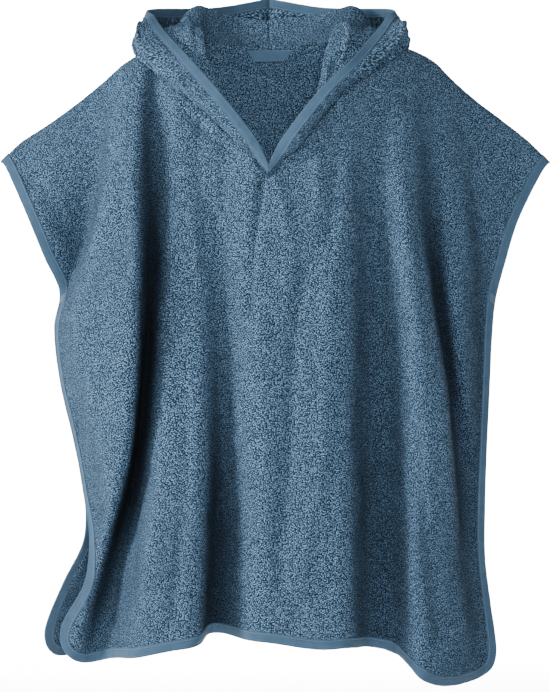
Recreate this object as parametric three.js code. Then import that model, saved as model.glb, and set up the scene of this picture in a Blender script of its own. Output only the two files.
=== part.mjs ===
// A child's hooded bath poncho in cotton terry, hanging hollow as it does when worn.
// Millimetres, +Z up, the front faces -Y. The origin is the middle of the neck at shoulder height.
import * as THREE from 'three';

// The flat cut: one front panel and one back panel, 700 mm across the sleeve tips.
const cut = {
  width: 700,
  length: 650,
  shoulderDrop: 50,
  neckHalf: 95,
  frontNeckDepth: 174,
  frontNeckCurve: 1.25,
  backNeckDepth: 20,
  backNeckCurve: 4,
  cornerRadius: 52,
};

// The cloth: thick terry, pressed thinner where the tape binds its edge.
const cloth = { halfThickness: 1.4, boundHalf: 0.8, seamGap: 0.3 };

// The edge tape: its finished width, narrower towards the front notch of the hood, its own thickness,
// its clearance from the cloth, the reach of its rounded cap and the set-back of its leaves.
const tape = {
  width: 10,
  notchTaper: 3.5,
  taperShare: 0.15,
  thickness: 0.9,
  clearance: 0.5,
  capReach: 1.7,
  capHeight: 0.6,
  setBack: 0.9,
};
const loopTape = { width: 12, length: 53, thickness: 1.2, standOff: 2.6, slant: 10, steps: 8 };

// Mesh density of the cloth, and the share of the cells across that each shoulder takes.
const frontCells = { across: 52, down: 22 };
const backCells = { across: 34, down: 16 };
const shoulderCellShare = 0.33;
const hoodCells = { along: 26, up: 18 };

// Side edges of the panels by the share of the way down from shoulder to hem.
// x is the front view, frontY and backY the depth of each panel's edge; the two part at the slits.
const edgeLevels = [0, 0.12, 0.2, 0.27, 0.34, 0.45, 0.56, 0.67, 0.75, 0.83, 0.91, 1];
const sideEdges = {
  left: {
    frontX: [-294, -263, -245, -229, -235, -228, -213, -201, -193, -197, -221, -234],
    frontY: [0, -15, -9, -3, -3, -4, -6, -16, -38, -56, -50, -38],
    backX: [-294, -263, -245, -229, -235, -228, -213.5, -202, -204, -226, -245, -256],
    backY: [0, 15, 9, 3, 3, 3, 3, 4, 5, 5, 8, 12],
  },
  right: {
    frontX: [308, 272, 258, 248, 244, 241, 238, 236, 236, 241, 247, 248],
    frontY: [0, -15, -9, -3, -3, -3, -3, -4, -8, -14, -18, -18],
    backX: [308, 272, 258, 248, 243, 240, 237, 234, 233, 235, 238, 240],
    backY: [0, 15, 9, 3, 3, 3, 3, 4, 8, 14, 20, 24],
  },
};

// The shoulder line seen from the front, and both hems: height z at each place x.
const shoulderLine = {
  x: [-294, -272, -240, -210, -183, -158, -125, -90, 0, 90, 135, 178, 202, 227, 256, 285, 308],
  z: [-112, -91, -70, -48, -26, -4, 15, 26, 30, 28, 18, 0, -23, -45, -67, -90, -113],
};
const frontHem = {
  x: [-234, -205, -180, -147, -114, -90, -78, -70, -52, -31, 0, 33, 54, 81, 97, 119, 130, 139, 150, 160, 180, 200, 222, 248],
  z: [-664, -660, -653, -640, -632, -628, -625, -621, -620, -621, -623, -628, -630, -629, -633, -638, -640, -644, -653, -664, -673, -676, -677, -694],
};
const backHem = {
  x: [-256, -200, -140, -60, 20, 70, 120, 170, 242],
  z: [-672, -650, -634, -620, -622, -640, -659, -668, -684],
};

// Depth of the hanging cloth over a general figure, and the half width of that figure, down the panel.
// The folds grow in below the shoulder within foldOnset and fade towards the side edges.
const formLevels = [0, 0.12, 0.27, 0.5, 0.75, 1];
const form = {
  front: [0, 46, 60, 60, 54, 50],
  back: [0, 44, 60, 64, 58, 54],
  halfWidth: [150, 172, 200, 225, 235, 235],
};
const formRoundness = 4;
const shoulderRound = 9;
const foldOnset = 60;
const edgeFade = 26;

// Folds, one row each. left and right are the fold's two flanks (x) and depth its height towards
// the outside, at seven levels from shoulder to hem. softLeft and softRight are the flanks' softness
// and overhang leans the crest sideways.
const foldLevels = [0, 0.2, 0.35, 0.5, 0.65, 0.8, 1];
const frontFolds = [
  { name: 'left roll', left: [-166, -186, -240, -262, -262, -262, -262],
    right: [-132, -134, -135, -142, -153, -176, -205], depth: [6, 28, 46, 50, 42, 16, 0],
    softLeft: 12, softRight: 15, overhang: [0, 0, 2, 4, 4, 0, 0] },
  { name: 'left sleeve hollow', left: [-225, -236, -262, -262, -262, -262, -262],
    right: [-166, -186, -240, -262, -262, -262, -262], depth: [0, -14, -8, 0, 0, 0, 0],
    softLeft: 26, softRight: 12, overhang: [0, 0, 0, 0, 0, 0, 0] },
  { name: 'left hollow', left: [-132, -134, -134, -141, -153, -180, -205],
    right: [-112, -114, -114, -118, -124, -130, -148], depth: [-4, -10, -14, -18, -24, -30, -20],
    softLeft: 13, softRight: 15, overhang: [0, 0, 0, 0, 0, 0, 0] },
  { name: 'left fold', left: [-112, -113, -115, -119, -126, -138, -158],
    right: [-70, -68, -64, -62, -62, -66, -73], depth: [0, 6, 11, 18, 34, 52, 58],
    softLeft: 14, softRight: 11, overhang: [0, 0, 0, 0, 0, 3, 7] },
  { name: 'middle fold', left: [-38, -36, -33, -32, -33, -34, -35],
    right: [92, 92, 94, 94, 94, 93, 94], depth: [0, 6, 13, 22, 30, 38, 46],
    softLeft: 14, softRight: 14, overhang: [0, 0, 0, 0, 0, 0, 0] },
  { name: 'notch crease', left: [-4, -12, -18, -22, -22, -22, -22],
    right: [1, -7, -13, -17, -17, -17, -17], depth: [0, -14, -14, 0, 0, 0, 0],
    softLeft: 5, softRight: 5, overhang: [0, 0, 0, 0, 0, 0, 0] },
  { name: 'right fold', left: [126, 127, 131, 136, 139, 142, 146],
    right: [166, 168, 174, 186, 199, 213, 232], depth: [3, 20, 36, 46, 46, 48, 52],
    softLeft: 14, softRight: 13, overhang: [0, 0, 2, 4, 2, 0, 0] },
  { name: 'right sleeve fold', left: [188, 190, 196, 208, 228, 252, 270],
    right: [203, 222, 231, 238, 252, 270, 280], depth: [4, 18, 26, 26, 14, 0, 0],
    softLeft: 13, softRight: 12, overhang: [0, 0, 0, 0, 0, 0, 0] },
];
const backFolds = [
  { name: 'left back sleeve fold', left: [-214, -214, -218, -224, -240, -256, -262],
    right: [-176, -170, -172, -176, -178, -182, -190], depth: [4, 26, 36, 40, 38, 32, 24],
    softLeft: 11, softRight: 13, overhang: [0, 0, 0, 0, 0, 0, 0] },
  { name: 'left back fold', left: [-130, -132, -135, -138, -140, -142, -146],
    right: [-86, -82, -80, -78, -76, -76, -78], depth: [2, 26, 40, 48, 52, 52, 52],
    softLeft: 14, softRight: 13, overhang: [0, 0, 0, 0, 0, 0, 0] },
  { name: 'middle back fold', left: [-40, -36, -35, -34, -35, -37, -40],
    right: [30, 34, 36, 36, 34, 30, 26], depth: [0, 6, 18, 30, 38, 42, 46],
    softLeft: 15, softRight: 15, overhang: [0, 0, 0, 0, 0, 0, 0] },
  { name: 'right back fold', left: [72, 76, 79, 82, 83, 84, 86],
    right: [128, 130, 132, 134, 136, 139, 142], depth: [0, 20, 30, 38, 43, 47, 50],
    softLeft: 13, softRight: 14, overhang: [0, 0, 0, 0, 0, 0, 0] },
  { name: 'right back sleeve fold', left: [176, 174, 176, 180, 184, 188, 192],
    right: [214, 220, 223, 226, 242, 256, 262], depth: [4, 22, 30, 36, 38, 38, 38],
    softLeft: 13, softRight: 10, overhang: [0, 0, 0, 0, 0, 0, 0] },
];

// The hood hangs open behind the neck. One row for each section from the front notch round to the
// centre back seam: the inner crest, the fall outside it, the lowest part of the roll, its far wall
// and the face edge, for the left half. share is the place along the neck seam; spread widens or
// narrows the crest, the roll and the edge of the mirrored right half.
const hoodSections = [
  { share: 0.00, crest: [0, -82, -134.5], fall: [0, -84.5, -133], base: [0, -86.5, -130.5],
    wall: [0, -87.5, -127.5], edge: [0, -88, -124], spread: [1, 1, 1] },
  { share: 0.10, crest: [-10, -78.5, -117.5], fall: [-12.5, -82, -117.5], base: [-14, -85, -116],
    wall: [-12.5, -88, -112.5], edge: [-8, -89, -107.5], spread: [1, 1, 1] },
  { share: 0.20, crest: [-21, -79, -97], fall: [-28, -84, -102], base: [-32, -88, -101],
    wall: [-26, -92, -97], edge: [-17, -91, -92], spread: [1.06, 1.03, 1.02] },
  { share: 0.40, crest: [-49, -65, -46], fall: [-60, -70, -53], base: [-71, -76, -61],
    wall: [-66, -87, -56], edge: [-53, -87, -46], spread: [1.04, 0.88, 1] },
  { share: 0.55, crest: [-68, -50, -2], fall: [-86, -57, -13], base: [-106, -61, -31],
    wall: [-104, -76, -25], edge: [-83, -74, -11], spread: [0.9, 0.88, 1.06] },
  { share: 0.66, crest: [-72, -22, 28], fall: [-104, -25, 26], base: [-140, -28, 2],
    wall: [-137, -43, 13], edge: [-112, -34, 24], spread: [0.98, 0.98, 1.03] },
  { share: 0.76, crest: [-77, 5, 40], fall: [-110, 4, 35], base: [-145, -4, 20],
    wall: [-140, -15, 38], edge: [-126, -7, 46], spread: [1.01, 1.05, 1.03] },
  { share: 0.86, crest: [-80, 32, 64], fall: [-101, 40, 26], base: [-130, 50, -18],
    wall: [-136, 44, 30], edge: [-129, 17, 58], spread: [1.15, 1.05, 1.03] },
  { share: 0.93, crest: [-46, 44, 54], fall: [-58, 53, -6], base: [-76, 84, -84],
    wall: [-84, 102, 0], edge: [-64, 80, 70], spread: [1.1, 1.03, 1.03] },
  { share: 1.00, crest: [0, 46, 49], fall: [0, 62, -32], base: [0, 89, -110],
    wall: [0, 118, -20], edge: [0, 100, 84], spread: [1, 1, 1] },
];
const hoodHeights = [0, 0.14, 0.34, 0.56, 0.78, 1];

// The neck seam: the share at which it passes the shoulder, the blend there, and its small lift off
// the garment's notch.
const neckShoulderShare = 0.68;
const neckShoulderBlend = 0.05;
const notchLift = 1.6;
const notchLiftShare = 0.06;

// Cubic through uneven stations, with each slope taken from its two neighbours.
function curveAt(stations, values, s) {
  const last = stations.length - 1;
  let i = 0;
  while (i < last - 1 && s > stations[i + 1]) i += 1;
  const slope = (k) => {
    const a = Math.max(0, k - 1);
    const b = Math.min(last, k + 1);
    return (values[b] - values[a]) / (stations[b] - stations[a]);
  };
  const span = stations[i + 1] - stations[i];
  const f = (s - stations[i]) / span;
  const [f2, f3] = [f * f, f * f * f];
  return (2 * f3 - 3 * f2 + 1) * values[i] + (f3 - 2 * f2 + f) * span * slope(i)
    + (3 * f2 - 2 * f3) * values[i + 1] + (f3 - f2) * span * slope(i + 1);
}

const clamp = (v, low, high) => Math.min(high, Math.max(low, v));
const lerp = (a, b, f) => a + (b - a) * f;

// A panel hangs as a family of sections: drape(side) gives the point of the cloth at a flat place (a, b).
function drape(side) {
  const sign = side === 'front' ? -1 : 1;
  const folds = side === 'front' ? frontFolds : backFolds;
  const hem = side === 'front' ? frontHem : backHem;
  const edgeX = (hand, level) => curveAt(edgeLevels, sideEdges[hand][`${side}X`], level);
  const edgeY = (hand, level) => curveAt(edgeLevels, sideEdges[hand][`${side}Y`], level);
  const bell = (x, half) => 1 / (1 + Math.abs(x / half) ** formRoundness);

  const point = (place, level) => {
    const [xl, xr] = [edgeX('left', level), edgeX('right', level)];
    const x = lerp(xl, xr, place);
    const half = curveAt(formLevels, form.halfWidth, level);
    const depth = sign * curveAt(formLevels, form[side], level);
    const [hand, xe] = x < 0 ? ['left', xl] : ['right', xr];
    const swell = (bell(x, half) - bell(xe, half)) / (1 - bell(xe, half));
    const edge = edgeY(hand, level);
    const fade = 1 - Math.exp(-(((x - xe) / edgeFade) ** 2));
    let [dx, dy] = [0, 0];
    for (const fold of folds) {
      const at = (column) => curveAt(foldLevels, fold[column], level);
      const rise = Math.tanh((x - at('left')) / fold.softLeft) - Math.tanh((x - at('right')) / fold.softRight);
      dy += sign * at('depth') * 0.5 * rise * fade;
      dx += at('overhang') * 0.5 * rise * fade;
    }
    const topZ = curveAt(shoulderLine.x, shoulderLine.z, lerp(edgeX('left', 0), edgeX('right', 0), place));
    const hemZ = curveAt(hem.x, hem.z, lerp(edgeX('left', 1), edgeX('right', 1), place));
    const run = level * cut.length;
    const round = shoulderRound * (1 - Math.exp(-Math.max(run, 0) / shoulderRound));
    const taken = 1 - Math.exp(-Math.max(run, 0) / foldOnset);
    return [
      x + dx,
      edge + (depth - edge) * swell + dy * taken + sign * round * swell,
      lerp(topZ, hemZ, (run - round) / (cut.length - shoulderRound)),
    ];
  };

  // Each half of the cloth is laid out from the centre line by its own length along the section,
  // so the cloth keeps its width and its grain hangs straight in the middle.
  const sections = new Map();
  const steps = 120;
  const section = (level, hand) => {
    const key = `${hand}${Math.round(level * 1e5)}`;
    if (sections.has(key)) return sections.get(key);
    const [xl, xr] = [edgeX('left', level), edgeX('right', level)];
    const middle = -xl / (xr - xl);
    const end = hand === 'left' ? 0 : 1;
    const lengths = [0];
    let previous = point(middle, level);
    for (let i = 1; i <= steps; i += 1) {
      const next = point(lerp(middle, end, i / steps), level);
      lengths.push(lengths[i - 1] + Math.hypot(...next.map((v, k) => v - previous[k])));
      previous = next;
    }
    sections.set(key, { lengths, middle, end });
    return sections.get(key);
  };
  const at = (a, b) => {
    const level = (b - shoulderAt(a)) / (cut.length - shoulderAt(a));
    const { lengths, middle, end } = section(level, a < 0 ? 'left' : 'right');
    const wanted = (Math.abs(a) / (cut.width / 2)) * lengths[steps];
    let i = 0;
    while (i < steps - 1 && lengths[i + 1] < wanted) i += 1;
    const share = (i + (wanted - lengths[i]) / (lengths[i + 1] - lengths[i])) / steps;
    return new THREE.Vector3(...point(lerp(middle, end, share), level));
  };
  return { at, sectionLength: (level, hand) => section(level, hand).lengths[steps], sign };
}

// The flat shoulder seam: level over the neck, then falling to the sleeve tip.
function shoulderAt(a) {
  const out = Math.max(0, Math.abs(a) - cut.neckHalf) / (cut.width / 2 - cut.neckHalf);
  return cut.shoulderDrop * out;
}

const panels = { front: drape('front'), back: drape('back') };

// Tangents and outward normal of the draped cloth at a flat place, by small steps.
function frameAt(panel, a, b) {
  const step = 0.5;
  const along = panel.at(a + step, b).sub(panel.at(a - step, b)).divideScalar(2 * step);
  const down = panel.at(a, b + step).sub(panel.at(a, b - step)).divideScalar(2 * step);
  const normal = new THREE.Vector3().crossVectors(along, down).multiplyScalar(panel.sign);
  if (Math.abs(a) >= cut.neckHalf && b <= shoulderAt(a) + 1e-6) normal.set(-along.z, 0, along.x);
  return { along, down, normal: normal.normalize() };
}

// Flat outline of the bound edge, from one sleeve tip down, along the hem and up to the other.
function boundEdge(cells) {
  const half = cut.width / 2;
  const r = cut.cornerRadius;
  const quarter = (Math.PI * r) / 4;
  const side = cut.length - cut.shoulderDrop - r;
  const straight = cut.width - 2 * r;
  const stations = [];
  const onSide = (distance) => {
    if (distance <= side) return [half, cut.shoulderDrop + distance];
    const turn = (distance - side) / r;
    return [half - r + r * Math.cos(turn), cut.length - r + r * Math.sin(turn)];
  };
  const onHem = (distance) => {
    if (distance <= quarter) return onSide(side + quarter + distance);
    if (distance >= quarter + straight) {
      const [a, b] = onSide(side + quarter + (2 * quarter + straight - distance));
      return [-a, b];
    }
    return [half - r - (distance - quarter), cut.length];
  };
  for (let j = 0; j <= cells.down; j += 1) {
    const [a, b] = onSide(((side + quarter) * j) / cells.down);
    stations.push([-a, b]);
  }
  for (let i = 1; i < cells.across; i += 1) {
    const [a, b] = onHem(((2 * quarter + straight) * (cells.across - i)) / cells.across);
    stations.push([a, b]);
  }
  for (let j = cells.down; j >= 0; j -= 1) stations.push(onSide(((side + quarter) * j) / cells.down));
  return stations;
}

// Moves each edge station inwards by the tape's width, measured on the hanging cloth.
function insetEdge(panel, stations) {
  return stations.map(([a, b], i) => {
    const before = stations[Math.max(0, i - 1)];
    const after = stations[Math.min(stations.length - 1, i + 1)];
    const run = [after[0] - before[0], after[1] - before[1]];
    const inward = [run[1], -run[0]];
    const { along, down } = frameAt(panel, a - Math.sign(a) * 1, b);
    const lift = ([p, q]) => along.clone().multiplyScalar(p).addScaledVector(down, q);
    const tangent = lift(run).normalize();
    const side = lift(inward);
    side.addScaledVector(tangent, -side.dot(tangent)).normalize().multiplyScalar(tape.width);
    const [aa, ad, dd] = [along.dot(along), along.dot(down), down.dot(down)];
    const [sa, sd] = [side.dot(along), side.dot(down)];
    const det = aa * dd - ad * ad;
    const moved = [a + (sa * dd - sd * ad) / det, b + (sd * aa - sa * ad) / det];
    if (i === 0 || i === stations.length - 1) moved[1] = shoulderAt(moved[0]);
    return moved;
  });
}

// Flat neckline of a panel between the two inset sleeve tips.
function topEdge(side, cells, first, last) {
  const shoulderCells = Math.round(cells.across * shoulderCellShare);
  const neckCells = cells.across - 2 * shoulderCells;
  const points = [];
  for (let i = 0; i <= shoulderCells; i += 1) {
    const a = lerp(first[0], -cut.neckHalf, i / shoulderCells);
    points.push([a, shoulderAt(a)]);
  }
  for (let i = 1; i < neckCells; i += 1) {
    const t = (2 * i) / neckCells - 1;
    const a = cut.neckHalf * Math.sign(t) * Math.abs(t) ** cut.frontNeckCurve;
    points.push([a, necklineAt(side, a)]);
  }
  for (let i = shoulderCells; i >= 0; i -= 1) {
    const a = lerp(last[0], cut.neckHalf, i / shoulderCells);
    points.push([a, shoulderAt(a)]);
  }
  return points;
}

// Neckline depth: a V in front, a shallow scoop behind.
function necklineAt(side, a) {
  const out = clamp(Math.abs(a) / cut.neckHalf, 0, 1);
  if (side === 'front') return cut.frontNeckDepth * (1 - out ** cut.frontNeckCurve);
  return cut.backNeckDepth * (1 - out ** cut.backNeckCurve);
}

// Vertex normals of a sheet, each the sum of its facets' normals by area.
function sheetNormals(points, triangles) {
  const normals = points.map(() => new THREE.Vector3());
  const [u, v] = [new THREE.Vector3(), new THREE.Vector3()];
  for (const [a, b, c] of triangles) {
    u.subVectors(points[b], points[a]);
    v.subVectors(points[c], points[a]);
    u.cross(v);
    for (const k of [a, b, c]) normals[k].add(u);
  }
  return normals;
}

// A closed solid from a sheet's points, normals and triangles: both faces and the rim between them.
function sheetSolid(points, normals, halves, triangles, rim) {
  const n = points.length;
  const positions = [];
  for (const face of [1, -1]) {
    points.forEach((p, i) => {
      const q = p.clone().addScaledVector(normals[i], face * halves[i]);
      positions.push(q.x, q.y, q.z);
    });
  }
  const index = [];
  for (const [a, b, c] of triangles) index.push(a, b, c, n + a, n + c, n + b);
  for (let i = 0; i < rim.length; i += 1) {
    const [a, b] = [rim[i], rim[(i + 1) % rim.length]];
    index.push(b, a, n + a, b, n + a, n + b);
  }
  return bufferOf(positions, index);
}

function bufferOf(positions, index) {
  const geometry = new THREE.BufferGeometry();
  geometry.setAttribute('position', new THREE.Float32BufferAttribute(positions, 3));
  geometry.setIndex(index);
  if (signedVolume(geometry) < 0) {
    const flipped = [];
    for (let i = 0; i < index.length; i += 3) flipped.push(index[i], index[i + 2], index[i + 1]);
    geometry.setIndex(flipped);
  }
  geometry.computeVertexNormals();
  return geometry;
}

function signedVolume(geometry) {
  const position = geometry.getAttribute('position');
  const index = geometry.getIndex();
  const corners = [0, 1, 2].map(() => new THREE.Vector3());
  let volume = 0;
  for (let i = 0; i < index.count; i += 3) {
    corners.forEach((corner, k) => corner.fromBufferAttribute(position, index.getX(i + k)));
    volume += corners[0].dot(corners[1].clone().cross(corners[2])) / 6;
  }
  return volume;
}

// A terry panel and its tape. The cloth is a grid between the inset edge and the neckline, with one
// ring under the tape; the tape stands on the same stations.
function panelPieces(side, cells) {
  const panel = panels[side];
  const edge = boundEdge(cells);
  const inner = insetEdge(panel, edge);
  const top = topEdge(side, cells, inner[0], inner[inner.length - 1]);
  const { across, down } = cells;
  const left = inner.slice(0, down + 1);
  const bottom = inner.slice(down, down + across + 1);
  const right = inner.slice(down + across).reverse();
  const flat = [];
  for (let j = 0; j <= down; j += 1) {
    for (let i = 0; i <= across; i += 1) {
      const [s, t] = [i / across, j / down];
      flat.push([0, 1].map((k) => lerp(top[i][k], bottom[i][k], t) + lerp(left[j][k], right[j][k], s)
        - lerp(lerp(top[0][k], top[across][k], s), lerp(bottom[0][k], bottom[across][k], s), t)));
    }
  }
  const gridCount = flat.length;
  flat.push(...edge);
  const points = flat.map(([a, b]) => panel.at(a, b));
  const at = (i, j) => j * (across + 1) + i;
  const triangles = [];
  const quad = (p, q, r, s) => triangles.push([p, q, r], [p, r, s]);
  const shorterQuad = (p, q, r, s) => {
    if (points[p].distanceTo(points[r]) < points[q].distanceTo(points[s])) quad(p, q, r, s);
    else quad(q, r, s, p);
  };
  for (let j = 0; j < down; j += 1) {
    for (let i = 0; i < across; i += 1) shorterQuad(at(i, j), at(i, j + 1), at(i + 1, j + 1), at(i + 1, j));
  }
  const innerIndex = [];
  for (let j = 0; j <= down; j += 1) innerIndex.push(at(0, j));
  for (let i = 1; i <= across; i += 1) innerIndex.push(at(i, down));
  for (let j = down - 1; j >= 0; j -= 1) innerIndex.push(at(across, j));
  const edgeIndex = edge.map((_, k) => gridCount + k);
  for (let k = 0; k < edge.length - 1; k += 1) {
    quad(innerIndex[k], edgeIndex[k], edgeIndex[k + 1], innerIndex[k + 1]);
  }

  const normals = sheetNormals(points, triangles);
  const seam = new Set([edgeIndex[0], edgeIndex[edge.length - 1]]);
  for (let i = 0; i <= across; i += 1) if (Math.abs(top[i][0]) >= cut.neckHalf) seam.add(i);
  const facing = panel.sign * Math.sign(normals[at(across / 2, down / 2)].y);
  normals.forEach((normal) => normal.multiplyScalar(facing).normalize());
  for (const i of seam) {
    normals[i].copy(frameAt(panel, ...flat[i]).normal);
    points[i].y = (panel.sign * cloth.seamGap) / 2;
  }
  const bound = new Set([...innerIndex, ...edgeIndex]);
  const halves = flat.map((_, i) => (bound.has(i) ? cloth.boundHalf : cloth.halfThickness));
  const rim = [...edgeIndex];
  for (let i = across; i >= 0; i -= 1) rim.push(at(i, 0));
  const pick = (list, index) => index.map((k) => list[k]);
  return {
    cloth: sheetSolid(points, normals, halves, triangles, rim),
    tape: tapeSolid(pick(points, edgeIndex), pick(points, innerIndex), pick(normals, edgeIndex),
      pick(normals, innerIndex)),
  };
}

// Edge tape: a folded strip whose two leaves lie on both faces of the cloth it binds.
function tapeSolid(outer, inner, outerNormals, innerNormals) {
  const gap = cloth.boundHalf + tape.clearance;
  const out = gap + tape.thickness;
  const cap = out * tape.capHeight;
  const rows = outer.map((edge, k) => {
    const outward = edge.clone().sub(inner[k]).normalize();
    const place = (base, normal, height, reach) =>
      base.clone().addScaledVector(normal, height).addScaledVector(outward, reach);
    const [e, i, ne, ni] = [edge, inner[k], outerNormals[k], innerNormals[k]];
    return [
      place(i, ni, out, tape.setBack), place(e, ne, out, 0), place(e, ne, cap, tape.capReach),
      place(e, ne, -cap, tape.capReach), place(e, ne, -out, 0), place(i, ni, -out, tape.setBack),
      place(i, ni, -gap, tape.setBack), place(e, ne, -gap, tape.clearance),
      place(e, ne, gap, tape.clearance), place(i, ni, gap, tape.setBack),
    ];
  });
  return loftSolid(rows, [[0, 1, 8, 9], [1, 2, 3, 4], [1, 4, 7, 8], [4, 5, 6, 7]], [4, 8]);
}

// Joins like sections in order; caps lists the polygons that close one section.
function loftSolid(rows, caps, turned = []) {
  const width = rows[0].length;
  const positions = rows.flat().flatMap((p) => [p.x, p.y, p.z]);
  const index = [];
  for (let r = 0; r < rows.length - 1; r += 1) {
    for (let k = 0; k < width; k += 1) {
      const [a, b] = [r * width + k, r * width + ((k + 1) % width)];
      if (turned.includes(k)) index.push(a, b, a + width, b, b + width, a + width);
      else index.push(a, b, b + width, a, b + width, a + width);
    }
  }
  const close = (base, reversed) => {
    for (const cap of caps) {
      for (let k = 1; k < cap.length - 1; k += 1) {
        const face = [base + cap[0], base + cap[k], base + cap[k + 1]];
        index.push(...(reversed ? face.reverse() : face));
      }
    }
  };
  close(0, true);
  close((rows.length - 1) * width, false);
  return bufferOf(positions, index);
}

// Neck seam of the garment by share: from the front notch up the V to the shoulder, then round behind.
function neckPlace(share) {
  const side = share < neckShoulderShare ? 'front' : 'back';
  const out = side === 'front' ? share / neckShoulderShare : (1 - share) / (1 - neckShoulderShare);
  const a = -cut.neckHalf * out;
  return { side, a, b: necklineAt(side, a) };
}

// Step from the panel's raw edge into the neck opening, wide enough for the hood to clear it.
function neckStandOff(share) {
  const { side, a, b } = neckPlace(share);
  const before = neckPlace(share - 0.01);
  const tangent = panels[side].at(a, b).sub(panels[side].at(before.a, before.b));
  const { along, down, normal } = frameAt(panels[side], a, b);
  const inward = new THREE.Vector3().crossVectors(tangent, normal).normalize();
  if (inward.dot(along.sub(down)) < 0) inward.negate();
  return inward.multiplyScalar(cloth.halfThickness + 3 * cloth.seamGap);
}

function neckSeam(share) {
  const { side, a, b } = neckPlace(share);
  const [early, late] = [neckShoulderShare - neckShoulderBlend, neckShoulderShare + neckShoulderBlend];
  const standOff = share > early && share < late
    ? neckStandOff(early).lerp(neckStandOff(late), (share - early) / (late - early))
    : neckStandOff(Math.max(share, 0.02));
  const seam = panels[side].at(a, b).add(standOff);
  seam.z += notchLift * Math.max(0, 1 - share / notchLiftShare);
  if (share === 0 || share === 1) seam.x = 0;
  return [seam.x, seam.y, seam.z];
}

// One half of the hood as a surface: at(along, up), from the neck seam (up 0) to the face edge (up 1).
function hoodHalf(hand) {
  const spreadOf = { crest: 0, fall: 0, base: 1, wall: 1, edge: 2 };
  const shares = hoodSections.map((row) => row.share);
  const columns = Object.keys(spreadOf).map((column) => hoodSections.map((row) => {
    const spread = hand === 'left' ? 1 : row.spread[spreadOf[column]];
    return [row[column][0] * spread, row[column][1], row[column][2]];
  }));
  const sign = hand === 'left' ? 1 : -1;
  const profiles = new Map();
  const profileAt = (along) => {
    if (!profiles.has(along)) {
      profiles.set(along, [neckSeam(along), ...columns.map((column) =>
        [0, 1, 2].map((k) => curveAt(shares, column.map((p) => p[k]), along)))]);
    }
    return profiles.get(along);
  };
  return (along, up) => {
    const [x, y, z] = [0, 1, 2].map((k) => curveAt(hoodHeights, profileAt(along).map((p) => p[k]), up));
    return new THREE.Vector3(sign * (x - cloth.seamGap / 2), y, z);
  };
}

// A hood half and its tape, on one grid whose last row of cells lies under the tape.
function hoodPieces(hood) {
  const { along, up } = hoodCells;
  const insetShare = (s) => {
    const edge = hood(s, 1);
    const width = tape.width - tape.notchTaper * Math.max(0, 1 - s / tape.taperShare);
    const step = 0.005;
    let v = 1;
    while (v > 0.5 && hood(s, v).distanceTo(edge) < width) v -= step;
    return v;
  };
  const points = [];
  const halves = [];
  for (let i = 0; i <= along; i += 1) {
    const top = insetShare(i / along);
    for (let j = 0; j <= up; j += 1) {
      points.push(hood(i / along, j < up ? (top * j) / (up - 1) : 1));
      halves.push(j >= up - 3 ? cloth.boundHalf : cloth.halfThickness);
    }
  }
  const at = (i, j) => i * (up + 1) + j;
  const triangles = [];
  for (let i = 0; i < along; i += 1) {
    for (let j = 0; j < up; j += 1) {
      triangles.push([at(i, j), at(i + 1, j), at(i + 1, j + 1)], [at(i, j), at(i + 1, j + 1), at(i, j + 1)]);
    }
  }
  const normals = sheetNormals(points, triangles);
  for (let j = 0; j <= up; j += 1) {
    normals[at(0, j)].x = 0;
    normals[at(along, j)].x = 0;
  }
  normals.forEach((normal) => normal.normalize());
  const rim = [];
  for (let i = 0; i < along; i += 1) rim.push(at(i, 0));
  for (let j = 0; j < up; j += 1) rim.push(at(along, j));
  for (let i = along; i > 0; i -= 1) rim.push(at(i, up));
  for (let j = up; j > 0; j -= 1) rim.push(at(0, j));
  const row = (list, j) => Array.from({ length: along + 1 }, (_, i) => list[at(i, j)]);
  return {
    cloth: sheetSolid(points, normals, halves, triangles, rim),
    tape: tapeSolid(row(points, up), row(points, up - 1), row(normals, up), row(normals, up - 1)),
  };
}

// Hanging loop: a tape whose slanted ends go up into the back neck seam, lying inside the back panel.
function hangingLoop(panel) {
  const half = loopTape.length / 2;
  const top = cut.backNeckDepth + 1;
  const outline = [
    [-half, top], [half, top], [half - loopTape.slant, top + loopTape.width],
    [-half + loopTape.slant, top + loopTape.width],
  ];
  const rows = [];
  for (let i = 0; i <= loopTape.steps; i += 1) {
    const f = i / loopTape.steps;
    const ends = [
      [lerp(outline[0][0], outline[1][0], f), top],
      [lerp(outline[3][0], outline[2][0], f), top + loopTape.width],
    ];
    const [low, high] = ends.map(([a, b]) => {
      const { normal } = frameAt(panel, a, b);
      return [0, 1].map((face) => panel.at(a, b).addScaledVector(normal,
        -(loopTape.standOff + face * loopTape.thickness)));
    });
    rows.push([low[0], low[1], high[1], high[0]]);
  }
  return loftSolid(rows, [[0, 1, 2, 3]]);
}

const terryBlue = { color: 0x4a6f8f, roughness: 0.95, metalness: 0 };
const tapeBlue = { color: 0x55809f, roughness: 0.8, metalness: 0 };

function piece(name, geometry, look) {
  const mesh = new THREE.Mesh(geometry, new THREE.MeshStandardMaterial(look));
  mesh.name = name;
  return mesh;
}

const poncho = new THREE.Group();
for (const [side, cells] of [['front', frontCells], ['back', backCells]]) {
  const made = panelPieces(side, cells);
  poncho.add(piece(`${side}_panel`, made.cloth, terryBlue));
  poncho.add(piece(`${side}_binding`, made.tape, tapeBlue));
}
for (const hand of ['left', 'right']) {
  const made = hoodPieces(hoodHalf(hand));
  poncho.add(piece(`hood_${hand}`, made.cloth, terryBlue));
  poncho.add(piece(`hood_binding_${hand}`, made.tape, tapeBlue));
}
poncho.add(piece('hanging_loop', hangingLoop(panels.back), tapeBlue));

export default poncho;
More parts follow.
